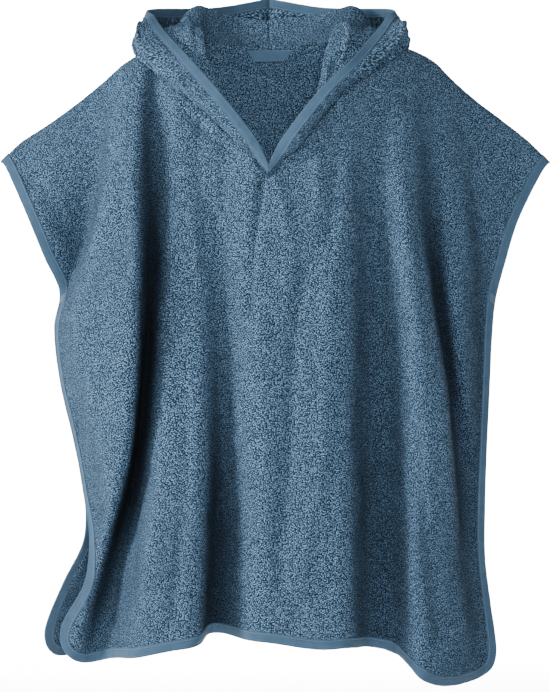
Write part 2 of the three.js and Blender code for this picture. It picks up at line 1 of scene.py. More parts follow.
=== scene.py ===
import bpy
import numpy as np
from bpy.props import FloatProperty, FloatVectorProperty, PointerProperty
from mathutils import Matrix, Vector


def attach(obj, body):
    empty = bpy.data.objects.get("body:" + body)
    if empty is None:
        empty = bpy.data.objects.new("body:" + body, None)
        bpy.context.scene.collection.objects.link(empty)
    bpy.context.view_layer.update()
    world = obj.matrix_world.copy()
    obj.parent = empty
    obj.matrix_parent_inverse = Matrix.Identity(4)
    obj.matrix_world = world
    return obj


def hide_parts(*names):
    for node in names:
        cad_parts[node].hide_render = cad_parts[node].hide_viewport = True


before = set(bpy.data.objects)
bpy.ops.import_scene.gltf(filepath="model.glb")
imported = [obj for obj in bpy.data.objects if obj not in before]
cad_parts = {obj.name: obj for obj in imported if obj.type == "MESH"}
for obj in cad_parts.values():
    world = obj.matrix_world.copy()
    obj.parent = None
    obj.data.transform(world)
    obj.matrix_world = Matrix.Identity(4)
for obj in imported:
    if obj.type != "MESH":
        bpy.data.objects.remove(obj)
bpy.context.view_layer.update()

bl_info = {
    "name": "Hooded bath poncho",
    "version": (1, 0, 0),
    "blender": (4, 5, 0),
    "location": "3D View > Sidebar > Poncho",
    "description": "Builds a child's hooded terry poncho as it hangs when worn",
    "category": "Add Mesh",
}

# All tables are in millimetres, in the part's frame: +Z up, the front faces -Y, the origin is the
# middle of the neck at shoulder height. Meshes are written in metres.
MM = 0.001

# The flat cut of the front and back panels.
CUT_WIDTH, CUT_LENGTH = 700.0, 650.0
SHOULDER_DROP, NECK_HALF = 50.0, 95.0
FRONT_NECK_DEPTH, FRONT_NECK_CURVE = 174.0, 1.25
BACK_NECK_DEPTH, BACK_NECK_CURVE = 20.0, 4.0
CORNER_RADIUS = 52.0

# Side edges of the panels by the share of the way down from shoulder to hem.
EDGE_LEVELS = [0, 0.12, 0.2, 0.27, 0.34, 0.45, 0.56, 0.67, 0.75, 0.83, 0.91, 1]
SIDE_EDGES = {
    "left": {
        "front_x": [-294, -263, -245, -229, -235, -228, -213, -201, -193, -197, -221, -234],
        "front_y": [0, -21, -16, -5, -3, -4, -6, -16, -38, -56, -50, -38],
        "back_x": [-294, -263, -245, -229, -235, -228, -213.5, -202, -204, -226, -245, -256],
        "back_y": [0, 15, 9, 3, 3, 3, 3, 4, 5, 5, 8, 12],
    },
    "right": {
        "front_x": [308, 272, 258, 248, 244, 241, 238, 236, 236, 241, 247, 248],
        "front_y": [0, -15, -9, -3, -3, -3, -3, -4, -8, -14, -18, -18],
        "back_x": [308, 272, 258, 248, 243, 240, 237, 234, 233, 235, 238, 240],
        "back_y": [0, 15, 9, 3, 3, 3, 3, 4, 8, 14, 20, 24],
    },
}

# The shoulder line seen from the front, and both hems: height z at each place x.
SHOULDER_LINE = {
    "x": [-294, -272, -240, -210, -183, -158, -125, -90, 0, 90, 135, 178, 202, 227, 256, 285, 308],
    "z": [-112, -91, -70, -48, -26, -4, 15, 26, 30, 28, 18, 0, -23, -45, -67, -90, -113],
}
FRONT_HEM = {
    "x": [-234, -205, -180, -147, -114, -90, -78, -70, -52, -31, 0, 33, 54, 81, 97, 119, 130, 139,
          150, 160, 180, 200, 222, 248],
    "z": [-664, -660, -653, -640, -632, -628, -625, -621, -620, -621, -623, -628, -630, -629, -633,
          -638, -640, -644, -653, -664, -673, -676, -677, -694],
}
BACK_HEM = {
    "x": [-256, -200, -140, -60, 20, 70, 120, 170, 242],
    "z": [-672, -650, -634, -620, -622, -640, -659, -668, -684],
}

# Depth of the hanging cloth over a general figure, and that figure's half width, down the panel.
FORM_LEVELS = [0, 0.12, 0.27, 0.5, 0.75, 1]
FORM_DEPTH = {"front": [0, 46, 60, 60, 54, 50], "back": [0, 44, 60, 64, 58, 54]}
FORM_HALF_WIDTH = [150, 172, 200, 225, 235, 235]
FORM_ROUNDNESS = 4
SHOULDER_ROUND, FOLD_ONSET = 9.0, 60.0

# Distance over which folds fade out at the side edges, at the same seven levels as the folds.
EDGE_FADE = {"front": {"left": [26, 24, 15, 12, 12, 15, 24], "right": [26, 26, 26, 29, 36, 46, 58]},
             "back": {"left": [26] * 7, "right": [26] * 7}}

# Large folds: the x of the two flanks and the height of the fold at seven levels, then the softness
# of each flank and how far the crest leans sideways.
FOLD_LEVELS = [0, 0.2, 0.35, 0.5, 0.65, 0.8, 1]
UPRIGHT = [0] * 7
FRONT_FOLDS = [
    # left roll
    ([-166, -186, -240, -262, -262, -262, -262], [-132, -134, -135, -142, -153, -176, -205],
     [20, 42, 58, 62, 54, 24, 0], 7, 7, [0, 1, 5, 10, 10, 3, 0]),
    # left sleeve hollow
    ([-215, -226, -262, -262, -262, -262, -262], [-166, -186, -240, -262, -262, -262, -262],
     [-6, -26, -16, 0, 0, 0, 0], 26, 9, UPRIGHT),
    # left hollow
    ([-132, -134, -134, -141, -153, -180, -205], [-116, -118, -119, -124, -132, -142, -158],
     [-6, -14, -20, -24, -29, -30, -16], 8, 9, UPRIGHT),
    # left fold
    ([-116, -117, -119, -124, -132, -146, -162], [-70, -68, -64, -62, -62, -66, -73],
     [0, 5, 14, 24, 40, 56, 62], 14, 9, [0, 0, 0, 0, 2, 5, 9]),
    # middle fold
    ([-38, -36, -33, -32, -33, -34, -35], [92, 92, 94, 94, 94, 93, 94],
     [0, 10, 24, 38, 50, 56, 60], 15, 11, [0, 0, 0, 0, 0, 2, 2]),
    # right fold
    ([126, 127, 131, 136, 139, 142, 146], [163, 165, 172, 186, 199, 213, 232],
     [5, 28, 50, 62, 64, 62, 60], 11, 8, [0, 0, 4, 8, 7, 2, 0]),
    # right sleeve fold
    ([181, 183, 190, 206, 228, 252, 270], [201, 221, 231, 238, 252, 270, 280],
     [6, 28, 42, 42, 26, 4, 0], 8, 9, UPRIGHT),
]
BACK_FOLDS = [
    # left back sleeve fold
    ([-214, -214, -218, -224, -240, -256, -262], [-176, -170, -172, -176, -178, -182, -190],
     [4, 26, 36, 40, 38, 32, 24], 11, 13, UPRIGHT),
    # left back fold
    ([-130, -132, -135, -138, -140, -142, -146], [-86, -82, -80, -78, -76, -76, -78],
     [2, 26, 40, 48, 52, 52, 52], 14, 13, UPRIGHT),
    # middle back fold
    ([-40, -36, -35, -34, -35, -37, -40], [30, 34, 36, 36, 34, 30, 26],
     [0, 6, 18, 30, 38, 42, 46], 15, 15, UPRIGHT),
    # right back fold
    ([72, 76, 79, 82, 83, 84, 86], [128, 130, 132, 134, 136, 139, 142],
     [0, 20, 30, 38, 43, 47, 50], 13, 14, UPRIGHT),
    # right back sleeve fold
    ([176, 174, 176, 180, 184, 188, 192], [214, 220, 223, 226, 242, 256, 262],
     [4, 22, 30, 36, 38, 38, 38], 13, 10, UPRIGHT),
]

# Soft creases and low ridges, listed one by one: places across and heights along the line, its half width
# and how far it stands out, less than nothing for a hollow.
FRONT_CREASES = [
    ([68, 48, 33], [-54, -79, -101], 6.5, -5.5),
    ([-92, -64, -36], [-62, -88, -112], 5.5, -3.5),
    ([-6, -10, -15, -20, -22], [-136, -165, -200, -240, -275], 5, -6.5),
    ([8, 16, 22, 26], [-140, -170, -205, -250], 8, 2.6),
    ([33, 28, 24, 20, 14, 12], [-240, -300, -370, -440, -500, -560], 8, -4.2),
    ([66, 62, 60, 56, 46, 34], [-230, -290, -360, -430, -490, -560], 9, 2.6),
    ([-10, -6, -4, -5, -8], [-280, -340, -400, -460, -520], 9, 2.4),
    ([-74, -76, -72, -66], [-70, -110, -160, -230], 6, -3.4),
    ([-56, -58, -54], [-75, -120, -170], 6, 2.6),
    ([-98, -96, -97, -102], [-50, -100, -170, -260], 8, 3.2),
    ([-104, -106, -112, -126], [-330, -400, -470, -560], 8, 3.4),
    ([-88, -86, -90, -100], [-360, -430, -500, -600], 6, -3.0),
    ([66, 72, 70, 64], [-60, -100, -150, -200], 7, -3.4),
    ([44, 50, 52], [-90, -120, -165], 7, 2.4),
    ([112, 116, 118], [-40, -80, -130], 7, -3.6),
    ([156, 160, 168, 180], [-400, -460, -540, -620], 7, -4.0),
    ([182, 190, 196, 206], [-400, -460, -540, -620], 8, 3.0),
    ([-190, -206, -218], [-330, -370, -420], 9, -3.4),
    ([-176, -180, -186, -184], [-300, -360, -430, -500], 10, -2.4),
    ([-166, -152, -150], [-110, -170, -240], 9, -2.6),
    ([228, 236, 232], [-280, -330, -390], 6, -2.8),
    ([262, 244, 226], [-128, -150, -190], 8, -3.4),
    ([-262, -240, -222], [-130, -150, -190], 9, -3.0),
    ([-14, 6, 30], [-590, -600, -604], 7, -2.0),
]
BACK_CREASES = [
    ([-60, -58, -54, -48], [-30, -90, -170, -260], 8, -3.6),
    ([-24, -22, -20, -24], [-50, -120, -200, -300], 8, 2.8),
    ([46, 50, 48, 42], [-30, -90, -180, -280], 8, -3.6),
    ([10, 8, 6, 8], [-260, -340, -430, -520], 8, -3.4),
    ([-104, -108, -112, -116], [-260, -360, -450, -540], 8, 3.0),
    ([108, 106, 110, 112], [-280, -370, -460, -560], 8, -3.0),
    ([160, 164, 168], [-340, -430, -540], 8, 3.0),
    ([-168, -172, -180], [-120, -190, -260], 9, -3.0),
    ([196, 200, 204], [-120, -190, -260], 8, -2.8),
    ([-196, -204, -212], [-420, -500, -580], 8, -3.0),
    ([226, 244, 262], [-190, -150, -126], 8, -3.2),
    ([-226, -244, -262], [-190, -150, -126], 8, -3.2),
]

# The hood by sections from the front notch round to the centre back seam: the share along the neck
# seam, then the inner crest, the fall outside it, the lowest part of the roll, its far wall, the
# face edge, and how much wider the crest, the roll and the edge are on the right half.
HOOD_SECTIONS = [
    (0.00, (0, -82, -134.5), (0, -84.5, -133), (0, -86.5, -130.5), (0, -87.5, -127.5), (0, -88, -124),
     (1, 1, 1)),
    (0.10, (-10, -78.5, -117.5), (-12.5, -82, -117.5), (-14, -85, -116), (-12.5, -88, -112.5),
     (-8, -89, -107.5), (1, 1, 1)),
    (0.20, (-21, -79, -97), (-28, -84, -102), (-32, -88, -101), (-26, -92, -97), (-17, -91, -92),
     (1.06, 1.03, 1.02)),
    (0.40, (-49, -65, -46), (-60, -70, -53), (-71, -76, -61), (-66, -87, -56), (-53, -87, -46),
     (1.04, 0.88, 1)),
    (0.55, (-68, -50, -2), (-86, -57, -13), (-106, -61, -31), (-104, -76, -25), (-83, -74, -11),
     (0.9, 0.88, 1.06)),
    (0.66, (-72, -22, 28), (-104, -25, 26), (-140, -28, 2), (-137, -43, 13), (-112, -34, 24),
     (0.98, 0.98, 1.03)),
    (0.76, (-77, 5, 40), (-110, 4, 35), (-145, -4, 20), (-140, -15, 38), (-126, -7, 46),
     (1.01, 1.05, 1.03)),
    (0.86, (-80, 32, 64), (-101, 40, 26), (-130, 50, -18), (-136, 44, 30), (-129, 17, 58),
     (1.15, 1.05, 1.03)),
    (0.93, (-46, 44, 54), (-58, 53, -6), (-76, 84, -84), (-84, 102, 0), (-64, 80, 70),
     (1.1, 1.03, 1.03)),
    (1.00, (0, 46, 49), (0, 62, -32), (0, 89, -110), (0, 118, -20), (0, 100, 84), (1, 1, 1)),
]
HOOD_HEIGHTS = [0, 0.14, 0.34, 0.56, 0.78, 1]
HOOD_SPREAD_OF = (0, 0, 1, 1, 2)
NECK_SHOULDER_SHARE = 0.68
HOOD_CUT_LENGTH = 350.0
HOOD_CUT_HEIGHT = 260.0
HOOD_CUT_FROM = {"left": 0.0, "right": 1130.0}

# Creases where the turned-back hood is pressed together, on each half's flat cut: places along the
# neck and heights above it in mm, half width and height in mm.
HOOD_CREASES = {
    "left": [
        ([262, 235, 190, 150], [172, 168, 162, 160], 4.5, -5.5),
        ([275, 240, 200], [204, 200, 190], 6, 3.5),
        ([250, 215, 170], [152, 146, 140], 6, 3.0), ([240, 200, 150], [128, 122, 118], 4.5, -3.5),
        ([170, 110, 60], [206, 212, 214], 4, -1.8), ([300, 268, 255], [100, 122, 150], 4, -2.4),
        ([214, 244, 280], [70, 58, 54], 6, -2.6), ([60, 110, 150], [120, 128, 122], 5, -1.8)],
    "right": [
        ([268, 240, 200, 150], [170, 166, 160, 156], 4.5, -6.0),
        ([280, 250, 205], [206, 200, 192], 6, 3.5),
        ([262, 220, 170], [148, 142, 140], 6, 3.2), ([250, 205, 150], [124, 116, 112], 4.5, -4.0),
        ([214, 150, 70], [206, 210, 206], 4, -1.8), ([262, 236, 200], [40, 66, 84], 5, -4.0),
        ([150, 190, 214], [62, 60, 84], 5, -2.8), ([306, 262, 232], [74, 78, 88], 5, 2.8)],
}

# Where the loop's seam lies below the flat top edge and how far it stands off the back panel, and
# at what height on the side edges the tacks lie, how tall they are and how thick their thread is.
# Then the loop's stations and how many of them its stitches lie in from its border, the threads of
# a tack and how far in from the edge they lie.
LOOP_TOP, LOOP_STAND = 22.5, 2.6
TACK_LEVEL, TACK_HEIGHT, TACK_THREAD = -265.0, 8.0, 0.42
LOOP_ACROSS, LOOP_DOWN, LOOP_BORDER = 65, 17, 3
TACK_ROWS, TACK_INSET = 13, 4.6

# The studio floor: its height, how far back it rises, its curve, its rise and its half width.
FLOOR_LOW, FLOOR_BACK, FLOOR_CURVE, FLOOR_RISE, FLOOR_HALF = -930.0, 5600.0, 800.0, 3200.0, 6500.0


# Curves, grids and noise.

def spline(stations, values, s):
    """Cubic through uneven stations: on each span the Hermite blend of the two end values and of
    slopes taken between each station's two neighbours."""
    stations, values = np.asarray(stations, float), np.asarray(values, float)
    s = np.asarray(s, float)
    index = np.arange(len(stations))
    before, after = np.maximum(index - 1, 0), np.minimum(index + 1, len(stations) - 1)
    wide = (slice(None),) + (None,) * (values.ndim - 1)
    slope = (values[after] - values[before]) / (stations[after] - stations[before])[wide]
    i = np.clip(np.searchsorted(stations, s) - 1, 0, len(stations) - 2)
    span = stations[i + 1] - stations[i]
    f = (s - stations[i]) / span
    if values.ndim > 1:
        span, f = span[..., None], f[..., None]
    return ((2 * f**3 - 3 * f**2 + 1) * values[i] + (f**3 - 2 * f**2 + f) * span * slope[i]
            + (3 * f**2 - 2 * f**3) * values[i + 1] + (f**3 - f**2) * span * slope[i + 1])


def lerp(a, b, f):
    return a + (b - a) * f


def smooth(f):
    """Rises from 0 to 1 as 3 f squared less 2 f cubed, flat outside."""
    f = np.clip(f, 0, 1)
    return f * f * (3 - 2 * f)


def unit(v):
    return v / np.maximum(np.linalg.norm(v, axis=-1, keepdims=True), 1e-9)


def lattice_noise(points, cell, seed):
    """Smooth noise from -1 to 1: random values on a cubic lattice of the given cell, blended
    between the eight nearest corners."""
    size = 64
    table = np.random.default_rng(seed).uniform(-1, 1, (size, size, size))
    place = np.asarray(points) / cell
    low = np.floor(place).astype(int)
    fx, fy, fz = np.moveaxis(smooth(place - low), -1, 0)
    x, y, z = np.moveaxis(low, -1, 0)
    total = 0
    for dx, wx in ((0, 1 - fx), (1, fx)):
        for dy, wy in ((0, 1 - fy), (1, fy)):
            for dz, wz in ((0, 1 - fz), (1, fz)):
                corner = table[(x + dx) % size, (y + dy) % size, (z + dz) % size]
                total = total + wx * wy * wz * corner
    return total


def grid_normals(points):
    """Unit normals of a grid surface: the cross product of its row and column differences."""
    return unit(np.cross(np.gradient(points, axis=1), np.gradient(points, axis=0)))


def grid_quads(rows, columns, wrap=False):
    """Quads of a grid of rows by columns of points; wrap joins the last column to the first."""
    i = np.arange(rows - 1)[:, None]
    j = np.arange(columns if wrap else columns - 1)[None, :]
    k = (j + 1) % columns
    return np.stack([i * columns + j, i * columns + k, (i + 1) * columns + k, (i + 1) * columns + j],
                    axis=-1).reshape(-1, 4)


def shell(outer, inner):
    """Closed wall between two grids of one size: both faces and the four rims."""
    rows, columns = outer.shape[:2]
    count = rows * columns
    face = grid_quads(rows, columns)
    index = np.arange(count).reshape(rows, columns)
    loop = np.concatenate([index[0], index[1:, -1], index[-1, -2::-1], index[-2:0:-1, 0]])
    ahead = np.roll(loop, -1)
    rim = np.stack([ahead, loop, loop + count, ahead + count], axis=-1)
    points = np.concatenate([outer.reshape(-1, 3), inner.reshape(-1, 3)])
    return points, np.concatenate([face, face[:, ::-1] + count, rim])


def signed_volume(points, quads):
    a, b, c, d = (points[quads[:, k]] for k in range(4))
    return float((a * (np.cross(b, c) + np.cross(c, d))).sum())


def make_piece(name, points, quads, material, uv=None, replaces=(), triangles=None, shade_openness=None):
    """Mesh object from points in millimetres, quads and any triangles, turned to face outwards and
    riding the part."""
    triangles = np.zeros((0, 3), int) if triangles is None else triangles
    if signed_volume(points, quads) < 0:
        quads, triangles = quads[:, ::-1], triangles[:, ::-1]
    corners = np.concatenate([quads.ravel(), triangles.ravel()])
    starts = np.concatenate([np.arange(len(quads)) * 4, quads.size + np.arange(len(triangles)) * 3])
    mesh = bpy.data.meshes.new(name)
    mesh.vertices.add(len(points))
    mesh.vertices.foreach_set("co", (points * MM).astype(np.float32).ravel())
    mesh.loops.add(len(corners))
    mesh.loops.foreach_set("vertex_index", corners.astype(np.int32))
    mesh.polygons.add(len(starts))
    mesh.polygons.foreach_set("loop_start", starts.astype(np.int32))
    mesh.polygons.foreach_set("use_smooth", np.ones(len(starts), bool))
    mesh.update(calc_edges=True)
    if uv is not None:
        layer = mesh.uv_layers.new(name="UVMap")
        layer.uv.foreach_set("vector", (uv[corners] * MM).astype(np.float32).ravel())
    # Per-place openness, which the terry material turns into painted shade.
    if shade_openness is not None:
        values = mesh.attributes.new("painted_shade_openness", "FLOAT", "POINT").data
        values.foreach_set("value", shade_openness.astype(np.float32))
    mesh.materials.append(material)
    piece = bpy.data.objects.new(name, mesh)
    bpy.context.scene.collection.objects.link(piece)
    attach(piece, "root")
    if replaces:
        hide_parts(*replaces)
    return piece


# The hanging panels.

def shoulder_at(a):
    """Flat shoulder seam: level over the neck, then falling evenly to the sleeve tip."""
    return SHOULDER_DROP * np.maximum(0, np.abs(a) - NECK_HALF) / (CUT_WIDTH / 2 - NECK_HALF)


def neckline_at(side, a):
    """Flat neckline: its depth times one less the share out from the centre to a power."""
    out = np.clip(np.abs(a) / NECK_HALF, 0, 1)
    if side == "front":
        return FRONT_NECK_DEPTH * (1 - out**FRONT_NECK_CURVE)
    return BACK_NECK_DEPTH * (1 - out**BACK_NECK_CURVE)


def edge_distance(a, b):
    """Flat distance in from the bound edge: the two sides, the hem and the rounded corners."""
    p, q = np.abs(a) - (CUT_WIDTH / 2 - CORNER_RADIUS), b - (CUT_LENGTH - CORNER_RADIUS)
    straight = CORNER_RADIUS - np.maximum(p, q)
    return np.where((p > 0) & (q > 0), CORNER_RADIUS - np.hypot(p, q), straight)


class Drape:
    """A panel as a family of sections. A section runs from side edge to side edge over a rounded
    form, and each fold adds half the difference of two tanh steps; down the panel it slides from
    the shoulder line to the hem line. Each half of the flat cut is spread evenly by length along
    its half of the section, so the cloth is eased or stretched where the two lengths differ."""

    ROWS, COLUMNS = 281, 321
    ROW_POWER = 1.6

    def __init__(self, side):
        self.side = side
        self.sign = -1.0 if side == "front" else 1.0
        self.folds = FRONT_FOLDS if side == "front" else BACK_FOLDS
        self.hem = FRONT_HEM if side == "front" else BACK_HEM
        rows = np.linspace(0, 1, self.ROWS) ** self.ROW_POWER
        run = np.linspace(0, 1, self.COLUMNS)
        x_left, x_right = self.edge("left", "x", rows), self.edge("right", "x", rows)
        middle = -x_left / (x_right - x_left)
        self.places = []
        for end in (0.0, 1.0):
            place = middle[:, None] + (end - middle)[:, None] * run
            points = self.point(place, rows[:, None] + 0 * run)
            steps = np.linalg.norm(np.diff(points, axis=1), axis=-1)
            length = np.concatenate([np.zeros((self.ROWS, 1)), np.cumsum(steps, axis=1)], axis=1)
            self.places.append(np.stack([np.interp(run * total[-1], total, row)
                                         for total, row in zip(length, place)]))

    def edge(self, hand, axis, level):
        return spline(EDGE_LEVELS, SIDE_EDGES[hand][f"{self.side}_{axis}"], level)

    def point(self, place, level):
        ends = {hand: self.edge(hand, "x", level) for hand in ("left", "right")}
        x = lerp(ends["left"], ends["right"], place)
        left = x < 0
        x_end = np.where(left, ends["left"], ends["right"])
        y_end = np.where(left, self.edge("left", "y", level), self.edge("right", "y", level))
        half = spline(FORM_LEVELS, FORM_HALF_WIDTH, level)
        depth = self.sign * spline(FORM_LEVELS, FORM_DEPTH[self.side], level)
        here, there = (1 / (1 + np.abs(v / half) ** FORM_ROUNDNESS) for v in (x, x_end))
        swell = (here - there) / (1 - there)
        reach = np.where(left, *(spline(FOLD_LEVELS, EDGE_FADE[self.side][hand], level)
                                 for hand in ("left", "right")))
        fade = 1 - np.exp(-(((x - x_end) / reach) ** 2))
        dx, dy = 0, 0
        for left_flank, right_flank, height, soft_left, soft_right, overhang in self.folds:
            rise = 0.5 * fade * (np.tanh((x - spline(FOLD_LEVELS, left_flank, level)) / soft_left)
                                 - np.tanh((x - spline(FOLD_LEVELS, right_flank, level)) / soft_right))
            dy = dy + self.sign * spline(FOLD_LEVELS, height, level) * rise
            dx = dx + spline(FOLD_LEVELS, overhang, level) * rise
        sides = [SIDE_EDGES[hand][f"{self.side}_x"] for hand in ("left", "right")]
        top_x, hem_x = (lerp(sides[0][end], sides[1][end], place) for end in (0, -1))
        top_z = spline(SHOULDER_LINE["x"], SHOULDER_LINE["z"], top_x)
        hem_z = spline(self.hem["x"], self.hem["z"], hem_x)
        run = level * CUT_LENGTH
        rounded = SHOULDER_ROUND * (1 - np.exp(-run / SHOULDER_ROUND))
        taken = 1 - np.exp(-run / FOLD_ONSET)
        y = y_end + (depth - y_end) * swell + dy * taken + self.sign * rounded * swell
        z = lerp(top_z, hem_z, (run - rounded) / (CUT_LENGTH - SHOULDER_ROUND))
        return np.stack([x + dx, y, z], axis=-1)

    def at(self, a, b):
        """Point of the hanging cloth at flat places (a across, b down)."""
        a, b = np.broadcast_arrays(np.asarray(a, float), np.asarray(b, float))
        top = shoulder_at(a)
        level = np.clip((b - top) / (CUT_LENGTH - top), 0, 1)
        v = level ** (1 / self.ROW_POWER) * (self.ROWS - 1)
        u = np.clip(np.abs(a) / (CUT_WIDTH / 2), 0, 1) * (self.COLUMNS - 1)
        i, j = np.minimum(v.astype(int), self.ROWS - 2), np.minimum(u.astype(int), self.COLUMNS - 2)
        f, g = v - i, u - j
        left, right = (lerp(lerp(t[i, j], t[i, j + 1], g), lerp(t[i + 1, j], t[i + 1, j + 1], g), f)
                       for t in self.places)
        return self.point(np.where(a < 0, left, right), level)

    def frame(self, a, b):
        """Across and down tangents and the outward normal, by small steps."""
        step = 0.75
        across = (self.at(a + step, b) - self.at(a - step, b)) / (2 * step)
        down = (self.at(a, b + step) - self.at(a, b - step)) / (2 * step)
        return across, down, unit(np.cross(across, down)) * self.sign


def bound_edge(down, across):
    """Flat outline of the bound edge from the left sleeve tip, round the hem, to the right tip."""
    half, r = CUT_WIDTH / 2, CORNER_RADIUS
    quarter = np.pi * r / 4
    side = CUT_LENGTH - SHOULDER_DROP - r
    straight = CUT_WIDTH - 2 * r

    def on_side(distance):
        turn = np.maximum(distance - side, 0) / r
        a = np.where(distance <= side, half, half - r + r * np.cos(turn))
        b = np.where(distance <= side, SHOULDER_DROP + distance, CUT_LENGTH - r + r * np.sin(turn))
        return np.stack([a, b], axis=-1)

    def on_hem(distance):
        near = on_side(side + quarter + distance)
        far = on_side(side + quarter + (2 * quarter + straight - distance)) * [-1, 1]
        flat = np.stack([half - r - (distance - quarter), np.full_like(distance, CUT_LENGTH)], axis=-1)
        d = distance[:, None]
        return np.where(d <= quarter, near, np.where(d >= quarter + straight, far, flat))

    right = on_side(np.linspace(0, side + quarter, down + 1))
    hem = on_hem(np.linspace(2 * quarter + straight, 0, across + 1))
    return right * [-1, 1], hem, right


def top_edge(side, across):
    """Flat top edge from sleeve tip to sleeve tip: shoulder, neckline, shoulder."""
    shoulder = round(across * 0.33)
    neck = across - 2 * shoulder
    out = lerp(-CUT_WIDTH / 2, -NECK_HALF, np.linspace(0, 1, shoulder + 1))
    t = 2 * np.arange(1, neck) / neck - 1
    inside = NECK_HALF * np.sign(t) * np.abs(t) ** FRONT_NECK_CURVE
    a = np.concatenate([out, inside, -out[::-1]])
    b = np.where(np.abs(a) >= NECK_HALF, shoulder_at(a), neckline_at(side, a))
    return np.stack([a, b], axis=-1)


def panel_grid(side, across, down):
    """Flat grid over a panel, blended between its four edges: the sum of the two lofts between
    opposite edges less the loft of the corners."""
    left, hem, right = bound_edge(down, across)
    top = top_edge(side, across)
    s, t = np.linspace(0, 1, across + 1)[None, :, None], np.linspace(0, 1, down + 1)[:, None, None]
    corners = lerp(lerp(top[0], top[-1], s), lerp(hem[0], hem[-1], s), t)
    return lerp(top[None], hem[None], t) + lerp(left[:, None], right[:, None], s) - corners


# Materials.

SHEEN_TINT = (0.5, 0.72, 0.9, 1)


def add_node(tree, kind, **inputs):
    """Adds a shader node; names with a capital letter are sockets, the others are settings."""
    node = tree.nodes.new(kind)
    for name, value in inputs.items():
        socket = name.replace("_", " ")
        if name[0].isupper():
            target = node.inputs[socket]
            if isinstance(value, bpy.types.NodeSocket):
                tree.links.new(value, target)
            else:
                target.default_value = value
        else:
            setattr(node, name, value)
    return node


def colour_ramp(tree, factor, stops):
    node = add_node(tree, "ShaderNodeValToRGB", Fac=factor)
    ramp = node.color_ramp
    while len(ramp.elements) < len(stops):
        ramp.elements.new(0.5)
    for element, (place, colour) in zip(ramp.elements, stops):
        element.position = place
        element.color = (*colour, 1) if len(colour) == 3 else colour
    return node.outputs["Color"]


def new_material(name):
    material = bpy.data.materials.new(name)
    material.use_nodes = True
    tree = material.node_tree
    tree.nodes.clear()
    return material, tree


def math_node(tree, operation, first, second, third=None):
    """A maths node on two or three values or sockets."""
    node = tree.nodes.new("ShaderNodeMath")
    node.operation = operation
    for socket, value in zip(node.inputs, (first, second, third)):
        if isinstance(value, bpy.types.NodeSocket):
            tree.links.new(value, socket)
        elif value is not None:
            socket.default_value = value
    return node.outputs[0]


def multiplied(tree, first, second):
    """One colour times another."""
    node = add_node(tree, "ShaderNodeMix", data_type="RGBA", blend_type="MULTIPLY")
    node.inputs[0].default_value = 1.0
    tree.links.new(first, node.inputs[6])
    tree.links.new(second, node.inputs[7])
    return node.outputs[2]


def surface(tree, colour, **sockets):
    """Ends a material with a principled shader of that colour and those socket values."""
    shader = add_node(tree, "ShaderNodeBsdfPrincipled", Base_Color=colour, **sockets)
    add_node(tree, "ShaderNodeOutputMaterial", Surface=shader.outputs["BSDF"])


def terry_material(name, cloth):
    """Looped terry on the cloth's own flat coordinates: rounded loops, each a cell of a fine cell
    pattern and a little lighter or darker than the next, with painted light on their tips over a
    ground darkened by painted shade, with clumps that lie differently and a soft sheen. Painted
    shade also darkens the places that neighbouring folds close in."""
    material, tree = new_material(name)
    flat = add_node(tree, "ShaderNodeTexCoord").outputs["UV"]
    loops = add_node(tree, "ShaderNodeTexVoronoi", voronoi_dimensions="2D", feature="F1", Vector=flat,
                     Scale=1 / cloth.loop_size, Randomness=0.9)
    fibre, clump = (
        add_node(tree, "ShaderNodeTexNoise", Vector=flat, Scale=scale, Detail=detail,
                 Roughness=roughness).outputs["Fac"]
        for scale, detail, roughness in ((1400.0, 2.0, 0.6), (70.0, 5.0, 0.7)))
    height = math_node(tree, "MULTIPLY_ADD", loops.outputs["Distance"], -1.3, 1.0)
    height = math_node(tree, "MULTIPLY_ADD", fibre, 0.3, height)
    height = math_node(tree, "MULTIPLY_ADD", clump, 0.8, height)
    tuft = math_node(tree, "MULTIPLY_ADD", fibre, 0.2, loops.outputs["Distance"])
    # Painted light on the loop tips and painted shade down between the loops, around the terry's own colour.
    shade = colour_ramp(tree, tuft, [
        (0.15, cloth.lit_tip_colour), (0.37, cloth.base_colour), (0.61, cloth.shaded_ground_colour)])
    single = add_node(tree, "ShaderNodeSeparateColor", Color=loops.outputs["Color"]).outputs["Red"]
    catch = colour_ramp(tree, single, [
        (0.0, (0.42, 0.45, 0.48)), (0.6, (1, 1, 1)), (1.0, (1.6, 1.55, 1.5))])
    mottle = colour_ramp(tree, clump, [
        (0.35, (0.85, 0.86, 0.87)), (0.52, (1, 1, 1)), (0.68, (1.1, 1.09, 1.08))])
    # Painted shade: the colour darkened where neighbouring folds close the place in.
    shade_openness = add_node(tree, "ShaderNodeAttribute", attribute_name="painted_shade_openness").outputs["Fac"]
    painted_shade = colour_ramp(tree, shade_openness, [
        (0.3, (0.03, 0.035, 0.04)), (0.48, (0.2, 0.22, 0.25)), (0.62, (0.56, 0.58, 0.6)),
        (0.86, (1, 1, 1))])
    colour = multiplied(tree, multiplied(tree, shade, catch), multiplied(tree, mottle, painted_shade))
    bump = add_node(tree, "ShaderNodeBump", Strength=1.0, Distance=cloth.loop_relief, Height=height)
    surface(tree, colour, Roughness=1.0, Normal=bump.outputs["Normal"], Specular_IOR_Level=0.05,
            Sheen_Weight=cloth.sheen, Sheen_Roughness=0.4, Sheen_Tint=SHEEN_TINT)
    return material


